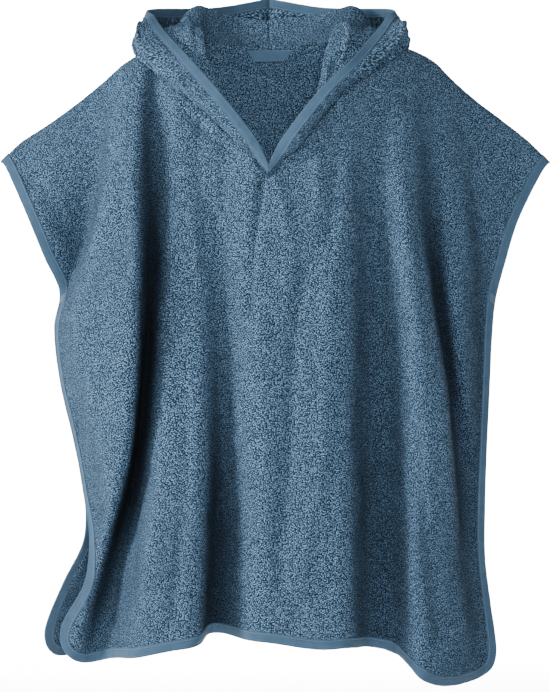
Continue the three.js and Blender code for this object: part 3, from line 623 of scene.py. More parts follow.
def tape_material(name, colour):
    """Woven tape: fine ribs across its width and threads along it, from the piece's own UV map."""
    material, tree = new_material(name)
    flat = add_node(tree, "ShaderNodeTexCoord").outputs["UV"]
    rib, thread = (
        add_node(tree, "ShaderNodeTexWave", wave_type="BANDS", bands_direction=axis, Vector=flat,
                 Scale=scale, Distortion=distortion, Detail=1.0).outputs["Fac"]
        for axis, scale, distortion in (("X", 430.0, 1.2), ("Y", 520.0, 0.8)))
    weave = math_node(tree, "MULTIPLY", math_node(tree, "ADD", rib, thread), 0.5)
    patch = add_node(tree, "ShaderNodeTexNoise", Vector=flat, Scale=90.0, Detail=3.0).outputs["Fac"]
    dark, light = (tuple(c * k for c in colour) for k in (0.8, 1.12))
    shade = colour_ramp(tree, weave, [(0.1, dark), (0.5, colour), (0.95, light)])
    mottle = colour_ramp(tree, patch, [(0.3, (0.86, 0.87, 0.88)), (0.7, (1.08, 1.07, 1.06))])
    bump = add_node(tree, "ShaderNodeBump", Strength=0.6, Distance=0.0003, Height=weave)
    surface(tree, multiplied(tree, shade, mottle), Roughness=0.8, Normal=bump.outputs["Normal"],
            Specular_IOR_Level=0.12, Sheen_Weight=0.05, Sheen_Roughness=0.5, Sheen_Tint=SHEEN_TINT)
    return material


def speckled_material(name, colour, roughness, scale, detail, stops):
    """A finish with noise between two shades of one colour; stops hold place and factor."""
    material, tree = new_material(name)
    place = add_node(tree, "ShaderNodeTexCoord").outputs["Object"]
    patch = add_node(tree, "ShaderNodeTexNoise", Vector=place, Scale=scale, Detail=detail)
    shades = [(at, tuple(min(1, c * k) for c in colour)) for at, k in stops]
    surface(tree, colour_ramp(tree, patch.outputs["Fac"], shades), Roughness=roughness)
    return material


def thread_material(name, colour):
    """Sewing thread, light and dark along each stitch."""
    return speckled_material(name, colour, 0.55, 2200.0, 1.0, ((0.3, 0.7), (0.7, 1.2)))


def resample(path, other, pitch):
    """Even stations along a path by its length, with another array carried along."""
    length = np.concatenate([[0], np.cumsum(np.linalg.norm(np.diff(path, axis=0), axis=-1))])
    count = max(2, int(length[-1] / pitch))
    where = (np.arange(count) + 0.5) * length[-1] / count
    return tuple(np.stack([np.interp(where, length, v[:, k]) for k in range(3)], axis=-1)
                 for v in (path, other))


def thread_runs(centres, directions, sides, length, radius):
    """Short threads with round ends, one at each centre: a capsule profile carried along its own
    direction, five-sided, all in one closed mesh each."""
    along = length * np.array([-0.5, -0.42, -0.2, 0.2, 0.42, 0.5])
    around = radius * np.array([0.25, 0.75, 1.0, 1.0, 0.75, 0.25])
    turn = np.linspace(0, 2 * np.pi, 6)[:-1]
    directions, sides = unit(directions), unit(sides)
    ups = unit(np.cross(directions, sides))
    sides = np.cross(ups, directions)
    ring = (np.cos(turn)[None, :, None, None] * sides[None, None] * around[:, None, None, None]
            + np.sin(turn)[None, :, None, None] * ups[None, None] * around[:, None, None, None])
    points = centres[None, None] + along[:, None, None, None] * directions[None, None] + ring
    points = np.moveaxis(points, 2, 0)
    count, rings, corners = points.shape[:3]
    skin = grid_quads(rings, corners, wrap=True)
    return points.reshape(-1, 3), skin, count


def stitch_piece(name, runs, material):
    """One piece from several sets of threads."""
    points, quads, triangles, base = [], [], [], 0
    for places, skin, count in runs:
        size = len(places) // count
        shift = (base + np.arange(count) * size)[:, None, None]
        quads.append((skin[None] + shift).reshape(-1, 4))
        fan = np.array([[0, 2, 1], [0, 3, 2], [0, 4, 3]])
        last = size - 5
        both = np.concatenate([fan, fan[:, ::-1] + last])
        triangles.append((both[None] + shift).reshape(-1, 3))
        points.append(places)
        base += len(places)
    return make_piece(name, np.concatenate(points), np.concatenate(quads), material,
                      triangles=np.concatenate(triangles))


def material_named(name, make, *arguments):
    """The finish of that name, made once and shared by like pieces."""
    return bpy.data.materials.get(name) or make(name, *arguments)


# Settings.

def metres(name, default, description):
    return FloatProperty(name=name, description=description, default=default, unit="LENGTH")


def watts(name, default, description):
    return FloatProperty(name=name, description=description, default=default, unit="POWER")


def tint(name, default, description):
    return FloatVectorProperty(name=name, description=description, default=default, subtype="COLOR",
                               min=0, max=1)


class PonchoCloth(bpy.types.PropertyGroup):
    thickness: metres("Thickness", 0.0027, "Thickness of the terry with its loops")
    bound_thickness: metres("Bound thickness", 0.0017, "Thickness pressed by the tape")
    nap: metres("Nap", 0.0007, "Unevenness of the loops in the surface itself")
    cockle: metres("Cockle", 0.0016, "Soft unevenness of the hanging cloth")
    loop_size: metres("Loop size", 0.0015, "Spacing of the terry loops")
    loop_relief: metres("Loop relief", 0.0016, "Depth between the loops")
    sheen: FloatProperty(name="Sheen", description="Soft light caught by the loops at a glance",
                         default=0.02, min=0, max=1, subtype="FACTOR")
    base_colour: tint("Colour", (0.053, 0.104, 0.170), "Terry between loop tip and ground")
    # The tips carry painted light and the ground painted shade; the colour between is the terry's own.
    lit_tip_colour: tint("Loop tips", (0.185, 0.308, 0.44), "Terry at the tips of the loops")
    shaded_ground_colour: tint("Ground", (0.008, 0.016, 0.030), "Terry down between the loops")


class PonchoTape(bpy.types.PropertyGroup):
    width: metres("Width", 0.010, "Finished width of the edge tape")
    thickness: metres("Thickness", 0.0008, "Thickness of the woven tape")
    stitch: metres("Stitch length", 0.0028, "Length of one stitch of the edge seam")
    thread: metres("Thread", 0.0005, "Diameter of the sewing thread")
    colour: tint("Tape colour", (0.023, 0.048, 0.080), "Woven tape")
    thread_colour: tint("Thread colour", (0.040, 0.080, 0.125), "Sewing thread")


class PonchoLoop(bpy.types.PropertyGroup):
    length: metres("Length", 0.053, "Length of the loop along the neck seam")
    width: metres("Width", 0.012, "Width of the loop's tape")
    slant: metres("Slant", 0.010, "How far each end slants in from seam to foot")
    thickness: metres("Thickness", 0.0012, "Both layers of the tape")
    colour: tint("Loop colour", (0.030, 0.060, 0.098), "Woven tape of the loop")


class PonchoStage(bpy.types.PropertyGroup):
    camera_distance: metres("Camera distance", 2.2, "From the shoulder plane")
    view_width: metres("View width", 0.605, "Width seen at the shoulder plane")
    view_x: metres("View centre across", 0.0066, "Where the camera looks, across")
    view_z: metres("View centre height", -0.3146, "Where the camera looks, up")
    key_power: watts("Key light", 285.0, "Watts of the large soft light")
    fill_power: watts("Fill light", 128.0, "Watts of the soft fill")
    floor_power: watts("Floor light", 900.0, "Power of the light on the floor behind")
    neck_power: watts("Neck light", 170.0, "Power of the soft spot into the open neck")
    backdrop_power: watts("Backdrop light", 1600.0, "Watts on the backdrop")
    ambient: FloatProperty(name="Ambient", description="Even light from all round", default=0.2)
    floor_colour: tint("Floor colour", (0.95, 0.95, 0.95), "Pale studio floor")


# Pieces.

PANELS = {}


def panel_of(side):
    """The hanging panel, worked out once."""
    if side not in PANELS:
        PANELS[side] = Drape(side)
    return PANELS[side]


# The cells of the cloth's two sizes of soft unevenness with their shares, the cell of its nap, and
# how far in from an edge the tape presses it and over what distance that fades.
COCKLES, NAP_CELL = ((46, 0.65), (19, 0.35)), 4.2
PRESS_WIDTH, PRESS_FADE = 9, 6


def cloth_surface(points, normals, pressed, cloth, seed):
    """Middle surface moved along its normals by two sizes of soft unevenness, fading where the tape
    or a seam presses the cloth flat."""
    move = cloth.cockle / MM * sum(share * lattice_noise(points, cell, seed + k)
                                   for k, (cell, share) in enumerate(COCKLES))
    return points + normals * (move * (1 - pressed))[..., None]


def crease_relief(points, creases):
    """Height of the laid creases at each place: each is its own height times a bell curve of the
    distance, seen from the front, to its line, so it also fades past its ends."""
    x, z = points[..., 0], points[..., 2]
    total = np.zeros_like(x)
    for across, up, half_width, height in creases:
        nearest = np.full_like(x, np.inf)
        for ax, az, bx, bz in zip(across, up, across[1:], up[1:]):
            run, rise = bx - ax, bz - az
            share = np.clip(((x - ax) * run + (z - az) * rise) / (run**2 + rise**2), 0, 1)
            nearest = np.minimum(nearest, np.hypot(x - ax - share * run, z - az - share * rise))
        total += height * np.exp(-((nearest / half_width) ** 2))
    return total


# How much more the left side counts in the painted shade, standing in for light from the left.
LEFT_LIGHT_BIAS = 0.09


def painted_shade_openness(points, sign, reach=30):
    """Share of the space before each place that neighbours in its row leave open: the mean of the
    cosines of the steepest slopes up to either side, smoothed; it sets the painted shade in the
    hollows between folds. The side on the left of someone who looks at the panel counts a little
    more, standing in for light from that side. It depends on the shape alone."""
    x, depth = points[..., 0], sign * points[..., 1]
    total = 0
    for turn, weight in ((1, 0.5 + LEFT_LIGHT_BIAS * sign), (-1, 0.5 - LEFT_LIGHT_BIAS * sign)):
        here_x, here = x[:, ::turn], depth[:, ::turn]
        steepest = np.zeros_like(x)
        for step in range(1, reach + 1):
            rise = here[:, step:] - here[:, :-step]
            run = np.maximum(np.abs(here_x[:, step:] - here_x[:, :-step]), 1)
            steepest[:, :-step] = np.maximum(steepest[:, :-step], rise / run)
        total = total + weight * (1 / np.hypot(1, steepest))[:, ::turn]
    share = total
    for axis in (1, 1, 0):
        ahead, behind = np.roll(share, -1, axis), np.roll(share, 1, axis)
        share = np.clip((share + ahead + behind) / 3, share.min(), 1)
    return share


def cloth_walls(points, normals, pressed, cloth, seed):
    """Both faces of a terry sheet: half its thickness each way, plus the nap's own noise."""
    half = lerp(cloth.thickness, cloth.bound_thickness, pressed) / 2 / MM
    nap = cloth.nap / MM * (1 - pressed)
    outer_nap, inner_nap = (nap * lattice_noise(points, NAP_CELL, seed + k) for k in (2, 3))
    outer = points + normals * (half + outer_nap)[..., None]
    inner = points - normals * (half + inner_nap)[..., None]
    return outer, inner


PANEL_ACROSS, PANEL_DOWN = 224, 190
PANEL_SEED = {"front": 10, "back": 20}
SEAM_EASE = 12


def build_panel(side, cloth):
    """A terry panel: its flat grid hung on the drape and given a wall."""
    panel = panel_of(side)
    seed = PANEL_SEED[side]
    flat = panel_grid(side, PANEL_ACROSS, PANEL_DOWN)
    a, b = flat[..., 0], flat[..., 1]
    points = panel.at(a, b)
    normals = grid_normals(points)
    normals *= panel.sign * np.sign(normals[PANEL_DOWN // 2, PANEL_ACROSS // 2, 1])
    on_seam = (b <= shoulder_at(a) + 1e-6) & (np.abs(a) >= NECK_HALF)
    points[..., 1] = np.where(on_seam, 0, points[..., 1])
    normals[..., 1] = np.where(on_seam, 0, normals[..., 1])
    normals = unit(normals)
    from_seam = (b - shoulder_at(a)) / SEAM_EASE
    pressed = np.maximum(1 - smooth((edge_distance(a, b) - PRESS_WIDTH) / PRESS_FADE), 1 - smooth(from_seam))
    creases = crease_relief(points, FRONT_CREASES if side == "front" else BACK_CREASES)
    points = points + normals * (creases * (1 - pressed))[..., None]
    points = cloth_surface(points, normals, pressed, cloth, seed)
    outer, inner = cloth_walls(points, normals, pressed, cloth, seed + 20)
    mesh_points, quads = shell(outer, inner)
    # Painted shade for the outer face from how far its folds close each place in; none inside.
    shade_openness = np.stack([painted_shade_openness(outer, panel.sign), np.ones(a.shape)]).ravel()
    return make_piece(f"{side}_terry", mesh_points, quads,
                      material_named("body terry", terry_material, cloth),
                      uv=np.tile(flat.reshape(-1, 2), (2, 1)), replaces=[f"{side}_panel"], shade_openness=shade_openness)


class PONCHO_OT_panels(bpy.types.Operator):
    """Hang the front and back terry panels."""
    bl_idname = "poncho.panels"
    bl_label = "Front and back panels"

    def execute(self, context):
        cloth = context.scene.poncho_cloth
        areas = {"front": 0.4227, "back": 0.4380}
        for side, area in areas.items():
            piece = build_panel(side, cloth)
        return {"FINISHED"}


def inset_edge(panel, edge, width):
    """Flat edge stations moved inwards so that the hanging cloth between them and the edge is as
    wide as the tape: the step is solved in the tangents of the cloth, which are taken a little
    inside the edge, where the small steps to both sides still lie on the cloth."""
    index = np.arange(len(edge))
    run = edge[np.minimum(index + 1, len(edge) - 1)] - edge[np.maximum(index - 1, 0)]
    inward = np.stack([run[:, 1], -run[:, 0]], axis=-1)
    inside = edge[:, 0] - np.sign(edge[:, 0]), np.minimum(edge[:, 1], CUT_LENGTH - 2)
    across, down, _ = panel.frame(*inside)
    tangent = unit(across * run[:, :1] + down * run[:, 1:])
    side = across * inward[:, :1] + down * inward[:, 1:]
    side = unit(side - tangent * (side * tangent).sum(-1, keepdims=True)) * width
    aa, ad, dd = (across**2).sum(-1), (across * down).sum(-1), (down**2).sum(-1)
    sa, sd = (side * across).sum(-1), (side * down).sum(-1)
    step = np.stack([sa * dd - sd * ad, sd * aa - sa * ad], axis=-1) / (aa * dd - ad * ad)[:, None]
    moved = edge + step
    moved[[0, -1], 1] = shoulder_at(moved[[0, -1], 0])
    return moved


# Stations across one leaf of a folded tape, from its inner edge out, as shares of its width, and the
# station where the row of stitches lies; before them the stations along a panel's side and hem.
EDGE_DOWN, EDGE_ACROSS = 150, 180
TAPE_STEPS = np.array([1.0, 0.97, 0.88, 0.8, 0.72, 0.5, 0.25, 0.08, 0.0])
TAPE_SEAM = 3

# How far the tape stands off the cloth, how much it ripples, how deep its stitches press it, how far
# its inner edge is tucked in, and how far its fold reaches past the cloth, outside and inside.
TAPE_CLEAR, TAPE_RIPPLE, STITCH_DENT, EDGE_TUCK = 0.05, 0.16, -0.28, -0.35
FOLD_OUTSIDE, FOLD_INSIDE = 1.25, 0.35


def tape_walls(places, normals, tape, cloth, seed):
    """A folded tape as a closed wall: its section runs over one leaf from the inner edge out, round
    the bound edge on a half circle, and back over the other leaf. places and normals hold the cloth
    at each station, from the inner edge out."""
    thick = tape.thickness / MM
    gap = cloth.bound_thickness / 2 / MM + TAPE_CLEAR
    path = places[:, -1]
    ripple = TAPE_RIPPLE * (lattice_noise(path, 6, seed) + lattice_noise(path, 15, seed + 1))
    dent = np.where(np.arange(len(TAPE_STEPS)) == TAPE_SEAM, STITCH_DENT, 0.0)
    lift = np.where(TAPE_STEPS > 0.98, EDGE_TUCK, 0)
    high = gap + thick + dent + lift + ripple[:, None] * np.where(TAPE_STEPS > 0.05, 1, 0.3)
    low = np.broadcast_to(gap, high.shape)
    outward = unit(places[:, -1] - places[:, -2])
    turn = np.radians([65, 35, 0, -35, -65])
    walls = []
    for height, reach in ((high, FOLD_OUTSIDE), (low, FOLD_INSIDE)):
        top = places + normals * height[..., None]
        bottom = places - normals * height[..., None]
        end = height[:, -1][:, None, None]
        cap = (places[:, -1][:, None] + normals[:, -1][:, None] * end * np.sin(turn)[None, :, None]
               + outward[:, None] * reach * np.cos(turn)[None, :, None])
        walls.append(np.concatenate([top, cap, bottom[:, ::-1]], axis=1))
    length = np.concatenate([[0], np.cumsum(np.linalg.norm(np.diff(path, axis=0), axis=-1))])
    width = tape.width / MM
    leaf = width * (1 - TAPE_STEPS)
    v = np.concatenate([leaf, width + np.linspace(0.4, 2.4, 5), 2 * width + 3 - leaf[::-1]])
    uv = np.stack(np.broadcast_arrays(length[:, None], v[None, :]), axis=-1).reshape(-1, 2)
    return walls[0], walls[1], np.concatenate([uv, uv])


def stitch_run(path, sides, tape, gap):
    """Stitches along a path on a surface, with a gap between one and the next."""
    length = tape.stitch / MM
    places, sides = resample(path, sides, length + gap)
    return thread_runs(places + unit(sides) * 0.1, np.gradient(places, axis=0), sides, length,
                       tape.thread / 2 / MM)


def seam_threads(outer, tape, columns):
    """Runs of stitches along given columns of a tape's outer wall."""
    normals = grid_normals(outer)
    centre = outer.mean(axis=1, keepdims=True)
    normals *= np.sign((normals * (outer - centre)).sum(-1, keepdims=True))
    return [stitch_run(outer[:, column], normals[:, column], tape, 0.5) for column in columns]


def seam_piece(name, runs, tape):
    """Runs of stitches as a piece of sewing thread."""
    return stitch_piece(name, runs,
                        material_named("sewing thread", thread_material, tuple(tape.thread_colour)))


def tape_and_stitches(name, walls, slot, tape, replaces):
    """A folded tape from its walls and flat coordinates, and its two rows of stitches."""
    outer, lining, uv = walls
    points, quads = shell(outer, lining)
    finish = material_named(slot.replace("_", " "), tape_material, tuple(tape.colour))
    piece = make_piece(name, points, quads, finish, uv=uv, replaces=[replaces])
    runs = seam_threads(outer, tape, (TAPE_SEAM, outer.shape[1] - 1 - TAPE_SEAM))
    return piece, seam_piece(name.replace("tape", "stitches"), runs, tape)


def build_panel_tape(side, cloth, tape):
    """The tape round one panel's sides and hem, and its two rows of stitches."""
    panel = panel_of(side)
    left, hem, right = bound_edge(EDGE_DOWN, EDGE_ACROSS)
    edge = np.concatenate([left, hem[1:-1], right[::-1]])
    inner = inset_edge(panel, edge, tape.width / MM)
    flat = lerp(edge[:, None], inner[:, None], TAPE_STEPS[None, :, None])
    places = panel.at(flat[..., 0], flat[..., 1])
    normals = panel.frame(flat[..., 0], flat[..., 1])[2]
    places[[0, -1], :, 1] = 0
    normals[[0, -1], :, 1] = 0
    walls = tape_walls(places, unit(normals), tape, cloth, PANEL_SEED[side] + 40)
    return tape_and_stitches(f"{side}_edge_tape", walls, "edge_tape", tape, f"{side}_binding")


def neck_seam(shares):
    """Neck seam of the hood by its share: up the V of the front neckline to the shoulder, then
    round the back neckline to the centre."""
    front = shares < NECK_SHOULDER_SHARE
    out = np.where(front, shares / NECK_SHOULDER_SHARE, (1 - shares) / (1 - NECK_SHOULDER_SHARE))
    a = -NECK_HALF * np.clip(out, 0, 1)
    on_front = panel_of("front").at(a, neckline_at("front", a))
    on_back = panel_of("back").at(a, neckline_at("back", a))
    seam = np.where(front[:, None], on_front, on_back)
    seam[:, 0] = np.where(out <= 0.001, 0, seam[:, 0])
    return seam


def hood_surface(hand, along, up):
    """Half of the hood on a grid: for each share along the neck a curve rises from the seam through
    the crest, the fall, the roll and the far wall to the face edge."""
    sections = [row[0] for row in HOOD_SECTIONS]
    columns = [neck_seam(along)]
    for k, spread_of in enumerate(HOOD_SPREAD_OF):
        column = np.array([row[1 + k] for row in HOOD_SECTIONS], float)
        if hand == "right":
            column[:, 0] *= np.array([row[6][spread_of] for row in HOOD_SECTIONS])
        columns.append(spline(sections, column, along))
    heights = np.stack(columns).reshape(len(columns), -1)
    points = spline(HOOD_HEIGHTS, heights, up).reshape(len(up), len(along), 3)
    points[..., 0] *= 1 if hand == "left" else -1
    return points


def hood_normals(points):
    """Grid normals, held in the centre plane on the two ends that are sewn to the other half."""
    normals = grid_normals(points)
    normals[:, [0, -1], 0] = 0
    return unit(normals)


HOOD_SEED = {"left": 70, "right": 80}
HOOD_ALONG, HOOD_UP = 151, 121
TAPE_ALONG, TAPE_UP = 181, 201

# How much narrower the face tape is at the front notch and over what share of the neck; how much
# painted shade darkens the hood at its foot and up to what share, and for each millimetre down in a
# crease; how flat the centre seam presses the cloth and how far.
NOTCH_NARROWING, NOTCH_SHARE = 3.5, 0.15
FOOT_SHADE, FOOT_SHARE, CREASE_SHADE = 0.24, 0.3, 0.05
CENTRE_PRESS, CENTRE_REACH = 0.75, 5


def hood_tape_width(tape, along):
    """Width of the face tape that shows: it narrows into the front notch."""
    return tape.width / MM - NOTCH_NARROWING * np.maximum(0, 1 - along / NOTCH_SHARE)


def build_hood(hand, cloth, tape):
    """A hood half, its tape and the tape's stitches."""
    along, up = np.linspace(0, 1, HOOD_ALONG), np.linspace(0, 1, HOOD_UP)
    points = hood_surface(hand, along, up)
    normals = hood_normals(points)
    shares = np.stack(np.broadcast_arrays(along[None, :], 0, up[:, None]), axis=-1)
    relief = crease_relief(shares * [HOOD_CUT_LENGTH, 0, HOOD_CUT_HEIGHT], HOOD_CREASES[hand])
    outward = 1 if hand == "right" else -1
    steps = np.linalg.norm(np.diff(points, axis=0), axis=-1)
    from_neck = np.concatenate([np.zeros((1, len(along))), np.cumsum(steps, axis=0)])
    from_edge = from_neck[-1:] - from_neck
    pressed = 1 - smooth((from_edge - hood_tape_width(tape, along) + 1) / PRESS_FADE)
    centre = CENTRE_PRESS * (1 - smooth(np.abs(points[..., 0]) / CENTRE_REACH))
    pressed = np.maximum(pressed, centre)
    seed = HOOD_SEED[hand]
    creased = points + normals * (outward * relief * (1 - pressed))[..., None]
    body = cloth_surface(creased, normals, pressed, cloth, seed)
    outer, inner = cloth_walls(body, normals, pressed, cloth, seed + 4)
    mesh_points, quads = shell(outer, inner)
    # Painted shade: darker at the hood's foot and down in its creases.
    foot = FOOT_SHADE * (1 - smooth(up / FOOT_SHARE))[:, None]
    shade_openness = np.clip(1 - foot + CREASE_SHADE * np.minimum(relief, 0), 0.4, 1)
    cut_from = HOOD_CUT_FROM[hand]
    flat = np.stack([cut_from + HOOD_CUT_LENGTH * along[None, :] + 0 * from_neck, from_neck], axis=-1)
    terry = make_piece(f"hood_terry_{hand}", mesh_points, quads,
                       material_named("hood terry", terry_material, cloth),
                       uv=np.tile(flat.reshape(-1, 2), (2, 1)), replaces=[f"hood_{hand}"],
                       shade_openness=np.tile(shade_openness.reshape(-1), 2))

    shares = np.linspace(0, 1, TAPE_ALONG)
    fine = hood_surface(hand, shares, np.linspace(0.5, 1, TAPE_UP))
    run = np.cumsum(np.linalg.norm(np.diff(fine, axis=0), axis=-1)[::-1], axis=0)[::-1]
    run = np.concatenate([run, np.zeros((1, TAPE_ALONG))])
    fine_normals = hood_normals(fine)
    wanted = TAPE_STEPS[None, :] * hood_tape_width(tape, shares)[:, None]
    row = np.stack([np.interp(w, distance[::-1], np.arange(TAPE_UP)[::-1])
                    for w, distance in zip(wanted, run.T)])
    low = np.minimum(row.astype(int), TAPE_UP - 2)
    f = (row - low)[..., None]
    station = np.arange(TAPE_ALONG)[:, None]
    places = lerp(fine[low, station], fine[low + 1, station], f)
    sides = unit(lerp(fine_normals[low, station], fine_normals[low + 1, station], f))
    walls = tape_walls(places, sides, tape, cloth, seed + 8)
    return terry, *tape_and_stitches(f"hood_tape_{hand}", walls, "hood_tape", tape, f"hood_binding_{hand}")


def build_loop(loop, tape):
    """The hanging loop on its flat place inside the back panel: a tape of two layers with turned
    edges, narrower at its foot than at the seam, standing off the cloth and swelling between its
    stitched border; its ends go up into the neck seam. With its border of stitches."""
    panel = panel_of("back")
    across, down = np.linspace(0, 1, LOOP_ACROSS), np.linspace(0, 1, LOOP_DOWN)
    half, width = loop.length / 2 / MM, loop.width / MM
    s, t = np.meshgrid(across, down)
    slanted = half - loop.slant / MM * t
    a, b = (2 * s - 1) * slanted, LOOP_TOP + width * t
    normals = panel.frame(a, b)[2]
    side = np.minimum(s, 1 - s) * 2 * slanted
    border = np.minimum(side, np.where(t < 0.5, width, width * (1 - t)))
    turned = np.exp(-((border - 0.5) / 0.9) ** 2) - 0.6 * np.exp(-((border - 1.9) / 0.45) ** 2)
    uneven = lattice_noise(np.stack([a, b, 0 * a], -1), 7, 90)
    swell = 0.5 * np.sin(np.pi * t) * np.sin(np.pi * s) + 0.15 * uneven
    stand = LOOP_STAND + swell
    top = panel.at(a, b) - normals * (stand + loop.thickness / MM * (1 + 0.3 * turned))[..., None]
    under = panel.at(a, b) - normals * stand[..., None]
    points, quads = shell(top, under)
    flat = np.stack([a, b], axis=-1).reshape(-1, 2)
    piece = make_piece("loop_tape", points, quads,
                       material_named("loop tape", tape_material, tuple(loop.colour)),
                       uv=np.tile(flat, (2, 1)), replaces=["hanging_loop"])
    inset = LOOP_BORDER
    line, facing = (
        np.concatenate([v[:-inset, inset], v[-1 - inset, inset:-inset], v[-1 - inset::-1, -1 - inset]])
        for v in (top, normals))
    return piece, seam_piece("loop_stitches", [stitch_run(line, -facing, tape, 0.4)], tape)


def build_tacks(cloth, tape):
    """The tacks that join front and back under the arms: dense short threads across both tapes and
    a few that pass from one to the other round the edge."""
    stand = cloth.bound_thickness / 2 / MM + tape.thickness / MM + 0.25
    rows = np.linspace(-TACK_HEIGHT / 2, TACK_HEIGHT / 2, TACK_ROWS)
    runs = []
    for sign in (-1, 1):
        edges = []
        for side in ("front", "back"):
            panel = panel_of(side)
            lengths = np.linspace(SHOULDER_DROP, CUT_LENGTH / 2, 80)
            levels = panel.at(np.full_like(lengths, sign * CUT_WIDTH / 2), lengths)[:, 2]
            b = np.interp(-TACK_LEVEL, -levels, lengths) + rows
            a = np.full_like(b, sign * (CUT_WIDTH / 2 - TACK_INSET))
            across, _, normals = panel.frame(a, b)
            places = panel.at(a, b) + normals * stand
            runs.append(thread_runs(places, across, normals, 7.5, TACK_THREAD))
            edges.append(panel.at(a + sign * 4.2, b))
        middle = (edges[0] + edges[1]) / 2 + np.array([sign * 0.9, 0, 0])
        span = edges[1] - edges[0]
        up = np.broadcast_to([0.0, 0.0, 1.0], span.shape)
        runs.append(thread_runs(middle[2:-2], span[2:-2], up[2:-2], 7.0, TACK_THREAD))
    return stitch_piece("side_tacks", runs,
                        material_named("tack thread", thread_material, tuple(tape.colour)))


class PONCHO_OT_edge_tapes(bpy.types.Operator):
    """Bind the sides and hems of both panels with stitched tape."""
    bl_idname = "poncho.edge_tapes"
    bl_label = "Edge tapes"

    def execute(self, context):
        cloth, tape = context.scene.poncho_cloth, context.scene.poncho_tape
        for side in ("front", "back"):
            piece, stitches = build_panel_tape(side, cloth, tape)
        return {"FINISHED"}


class PONCHO_OT_hood(bpy.types.Operator):
    """Make the two halves of the hood, their face tape and its stitches."""
    bl_idname = "poncho.hood"
    bl_label = "Hood"

    def execute(self, context):
        cloth, tape = context.scene.poncho_cloth, context.scene.poncho_tape
        for hand in ("left", "right"):
            terry, binding, stitches = build_hood(hand, cloth, tape)
        return {"FINISHED"}


class PONCHO_OT_fastenings(bpy.types.Operator):
    """Sew in the hanging loop and the tacks under the arms."""
    bl_idname = "poncho.fastenings"
    bl_label = "Hanging loop and side tacks"

    def execute(self, context):
        scene = context.scene
        piece, stitches = build_loop(scene.poncho_loop, scene.poncho_tape)
        build_tacks(scene.poncho_cloth, scene.poncho_tape)
        return {"FINISHED"}


def add_light(name, kind, place, aim, power, **settings):
    """A light at one place that points at another."""
    lamp = bpy.data.lights.new(name, kind)
    lamp.energy = power
    for setting, value in settings.items():
        setattr(lamp, setting, value)
    light = bpy.data.objects.new(name, lamp)
    light.location = place
    light.rotation_euler = (Vector(aim) - Vector(place)).to_track_quat("-Z", "Y").to_euler()
    bpy.context.scene.collection.objects.link(light)


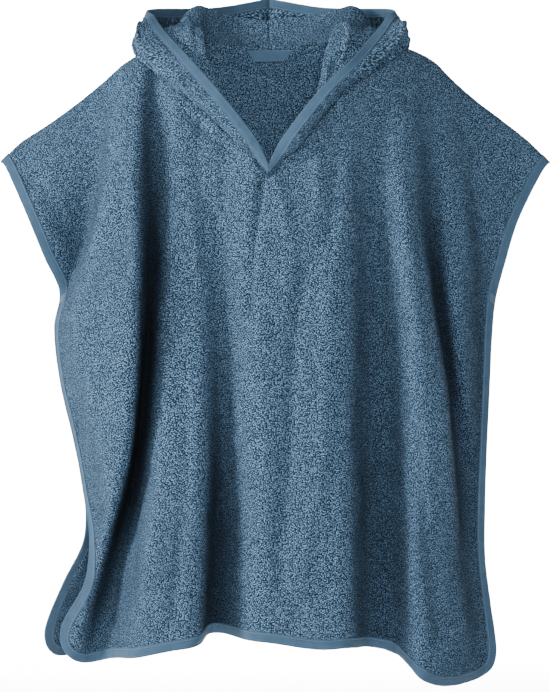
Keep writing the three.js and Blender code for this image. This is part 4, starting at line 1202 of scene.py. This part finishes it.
class PONCHO_OT_stage(bpy.types.Operator):
    """Set up the pale floor, the soft lights and the camera."""
    bl_idname = "poncho.stage"
    bl_label = "Floor, lights and camera"

    def execute(self, context):
        stage = context.scene.poncho_stage
        self.floor(stage)
        self.lights(stage)
        self.camera(context, stage)
        return {"FINISHED"}

    def floor(self, stage):
        """Floor that curves up into a backdrop: a straight run, a quarter circle, a straight rise."""
        low, back, r = FLOOR_LOW, FLOOR_BACK, FLOOR_CURVE
        turn = np.linspace(0, np.pi / 2, 25)
        y = np.concatenate([[-FLOOR_HALF], back - r + r * np.sin(turn), [back]])
        z = np.concatenate([[low], low + r - r * np.cos(turn), [low + FLOOR_RISE]])
        x = np.array([-FLOOR_HALF, FLOOR_HALF])
        points = np.stack(np.broadcast_arrays(x[None, :], y[:, None], z[:, None]), axis=-1)
        quads = grid_quads(len(y), 2)
        mesh = bpy.data.meshes.new("studio_floor")
        mesh.from_pydata((points.reshape(-1, 3) * MM).tolist(), [], quads.tolist())
        mesh.materials.append(speckled_material(
            "studio floor", tuple(stage.floor_colour), 0.9, 1.5, 2.0, ((0.2, 0.985), (0.8, 1))))
        mesh.polygons.foreach_set("use_smooth", np.ones(len(quads), bool))
        floor = bpy.data.objects.new("studio_floor", mesh)
        bpy.context.scene.collection.objects.link(floor)

    def lights(self, stage):
        middle = (0, 0, -0.3)
        for name, place, aim, size, power, spread in (
                ("key light", (-2.65, -0.9, 0.65), middle, (0.9, 0.9), stage.key_power, 180),
                ("fill light", (0.1, -2.7, 0.1), middle, (1.0, 1.0), stage.fill_power, 180),
                ("backdrop light", (0, 3.4, 2.2), (0, 5.6, 0.1), (5.0, 0.8), stage.backdrop_power, 120),
                ("floor light", (0, 2.7, 2.4), (0, 2.7, -0.9), (4.0, 0.8), stage.floor_power, 76)):
            add_light(name, "AREA", place, aim, power, shape="RECTANGLE", size=size[0], size_y=size[1],
                      spread=np.radians(spread))
        add_light("neck light", "SPOT", (0, -2.35, 0.1), (0.005, 0.08, -0.05), stage.neck_power,
                  spot_size=np.radians(6.4), spot_blend=1.0, shadow_soft_size=0.12)
        world = bpy.data.worlds.new("studio")
        world.use_nodes = True
        background = world.node_tree.nodes["Background"]
        background.inputs["Color"].default_value = (1, 1, 1, 1)
        background.inputs["Strength"].default_value = stage.ambient
        bpy.context.scene.world = world

    def camera(self, context, stage):
        lens = bpy.data.cameras.new("camera")
        lens.sensor_fit = "HORIZONTAL"
        lens.sensor_width = 36
        lens.lens = 36 * stage.camera_distance / stage.view_width
        camera = bpy.data.objects.new("camera", lens)
        camera.location = (stage.view_x, -stage.camera_distance, stage.view_z)
        camera.rotation_euler = (np.pi / 2, 0, 0)
        context.scene.collection.objects.link(camera)
        context.scene.camera = camera


OPERATORS = (PONCHO_OT_panels, PONCHO_OT_edge_tapes, PONCHO_OT_hood, PONCHO_OT_fastenings,
             PONCHO_OT_stage)
GROUPS = {"poncho_cloth": PonchoCloth, "poncho_tape": PonchoTape, "poncho_loop": PonchoLoop,
          "poncho_stage": PonchoStage}


class VIEW3D_PT_poncho(bpy.types.Panel):
    bl_label = "Hooded bath poncho"
    bl_idname = "VIEW3D_PT_poncho"
    bl_space_type = "VIEW_3D"
    bl_region_type = "UI"
    bl_category = "Poncho"

    def draw(self, context):
        for operator in OPERATORS:
            self.layout.operator(operator.bl_idname)
        for name, group in GROUPS.items():
            box = self.layout.box()
            for field in group.__annotations__:
                box.prop(getattr(context.scene, name), field)


def register():
    for kind in (*GROUPS.values(), *OPERATORS, VIEW3D_PT_poncho):
        bpy.utils.register_class(kind)
    for name, group in GROUPS.items():
        setattr(bpy.types.Scene, name, PointerProperty(type=group))


def unregister():
    for name in GROUPS:
        delattr(bpy.types.Scene, name)
    for kind in reversed((*GROUPS.values(), *OPERATORS, VIEW3D_PT_poncho)):
        bpy.utils.unregister_class(kind)


def main():
    register()
    for operator in OPERATORS:
        group, name = operator.bl_idname.split(".")
        getattr(getattr(bpy.ops, group), name)()


if __name__ == "__main__":
    main()
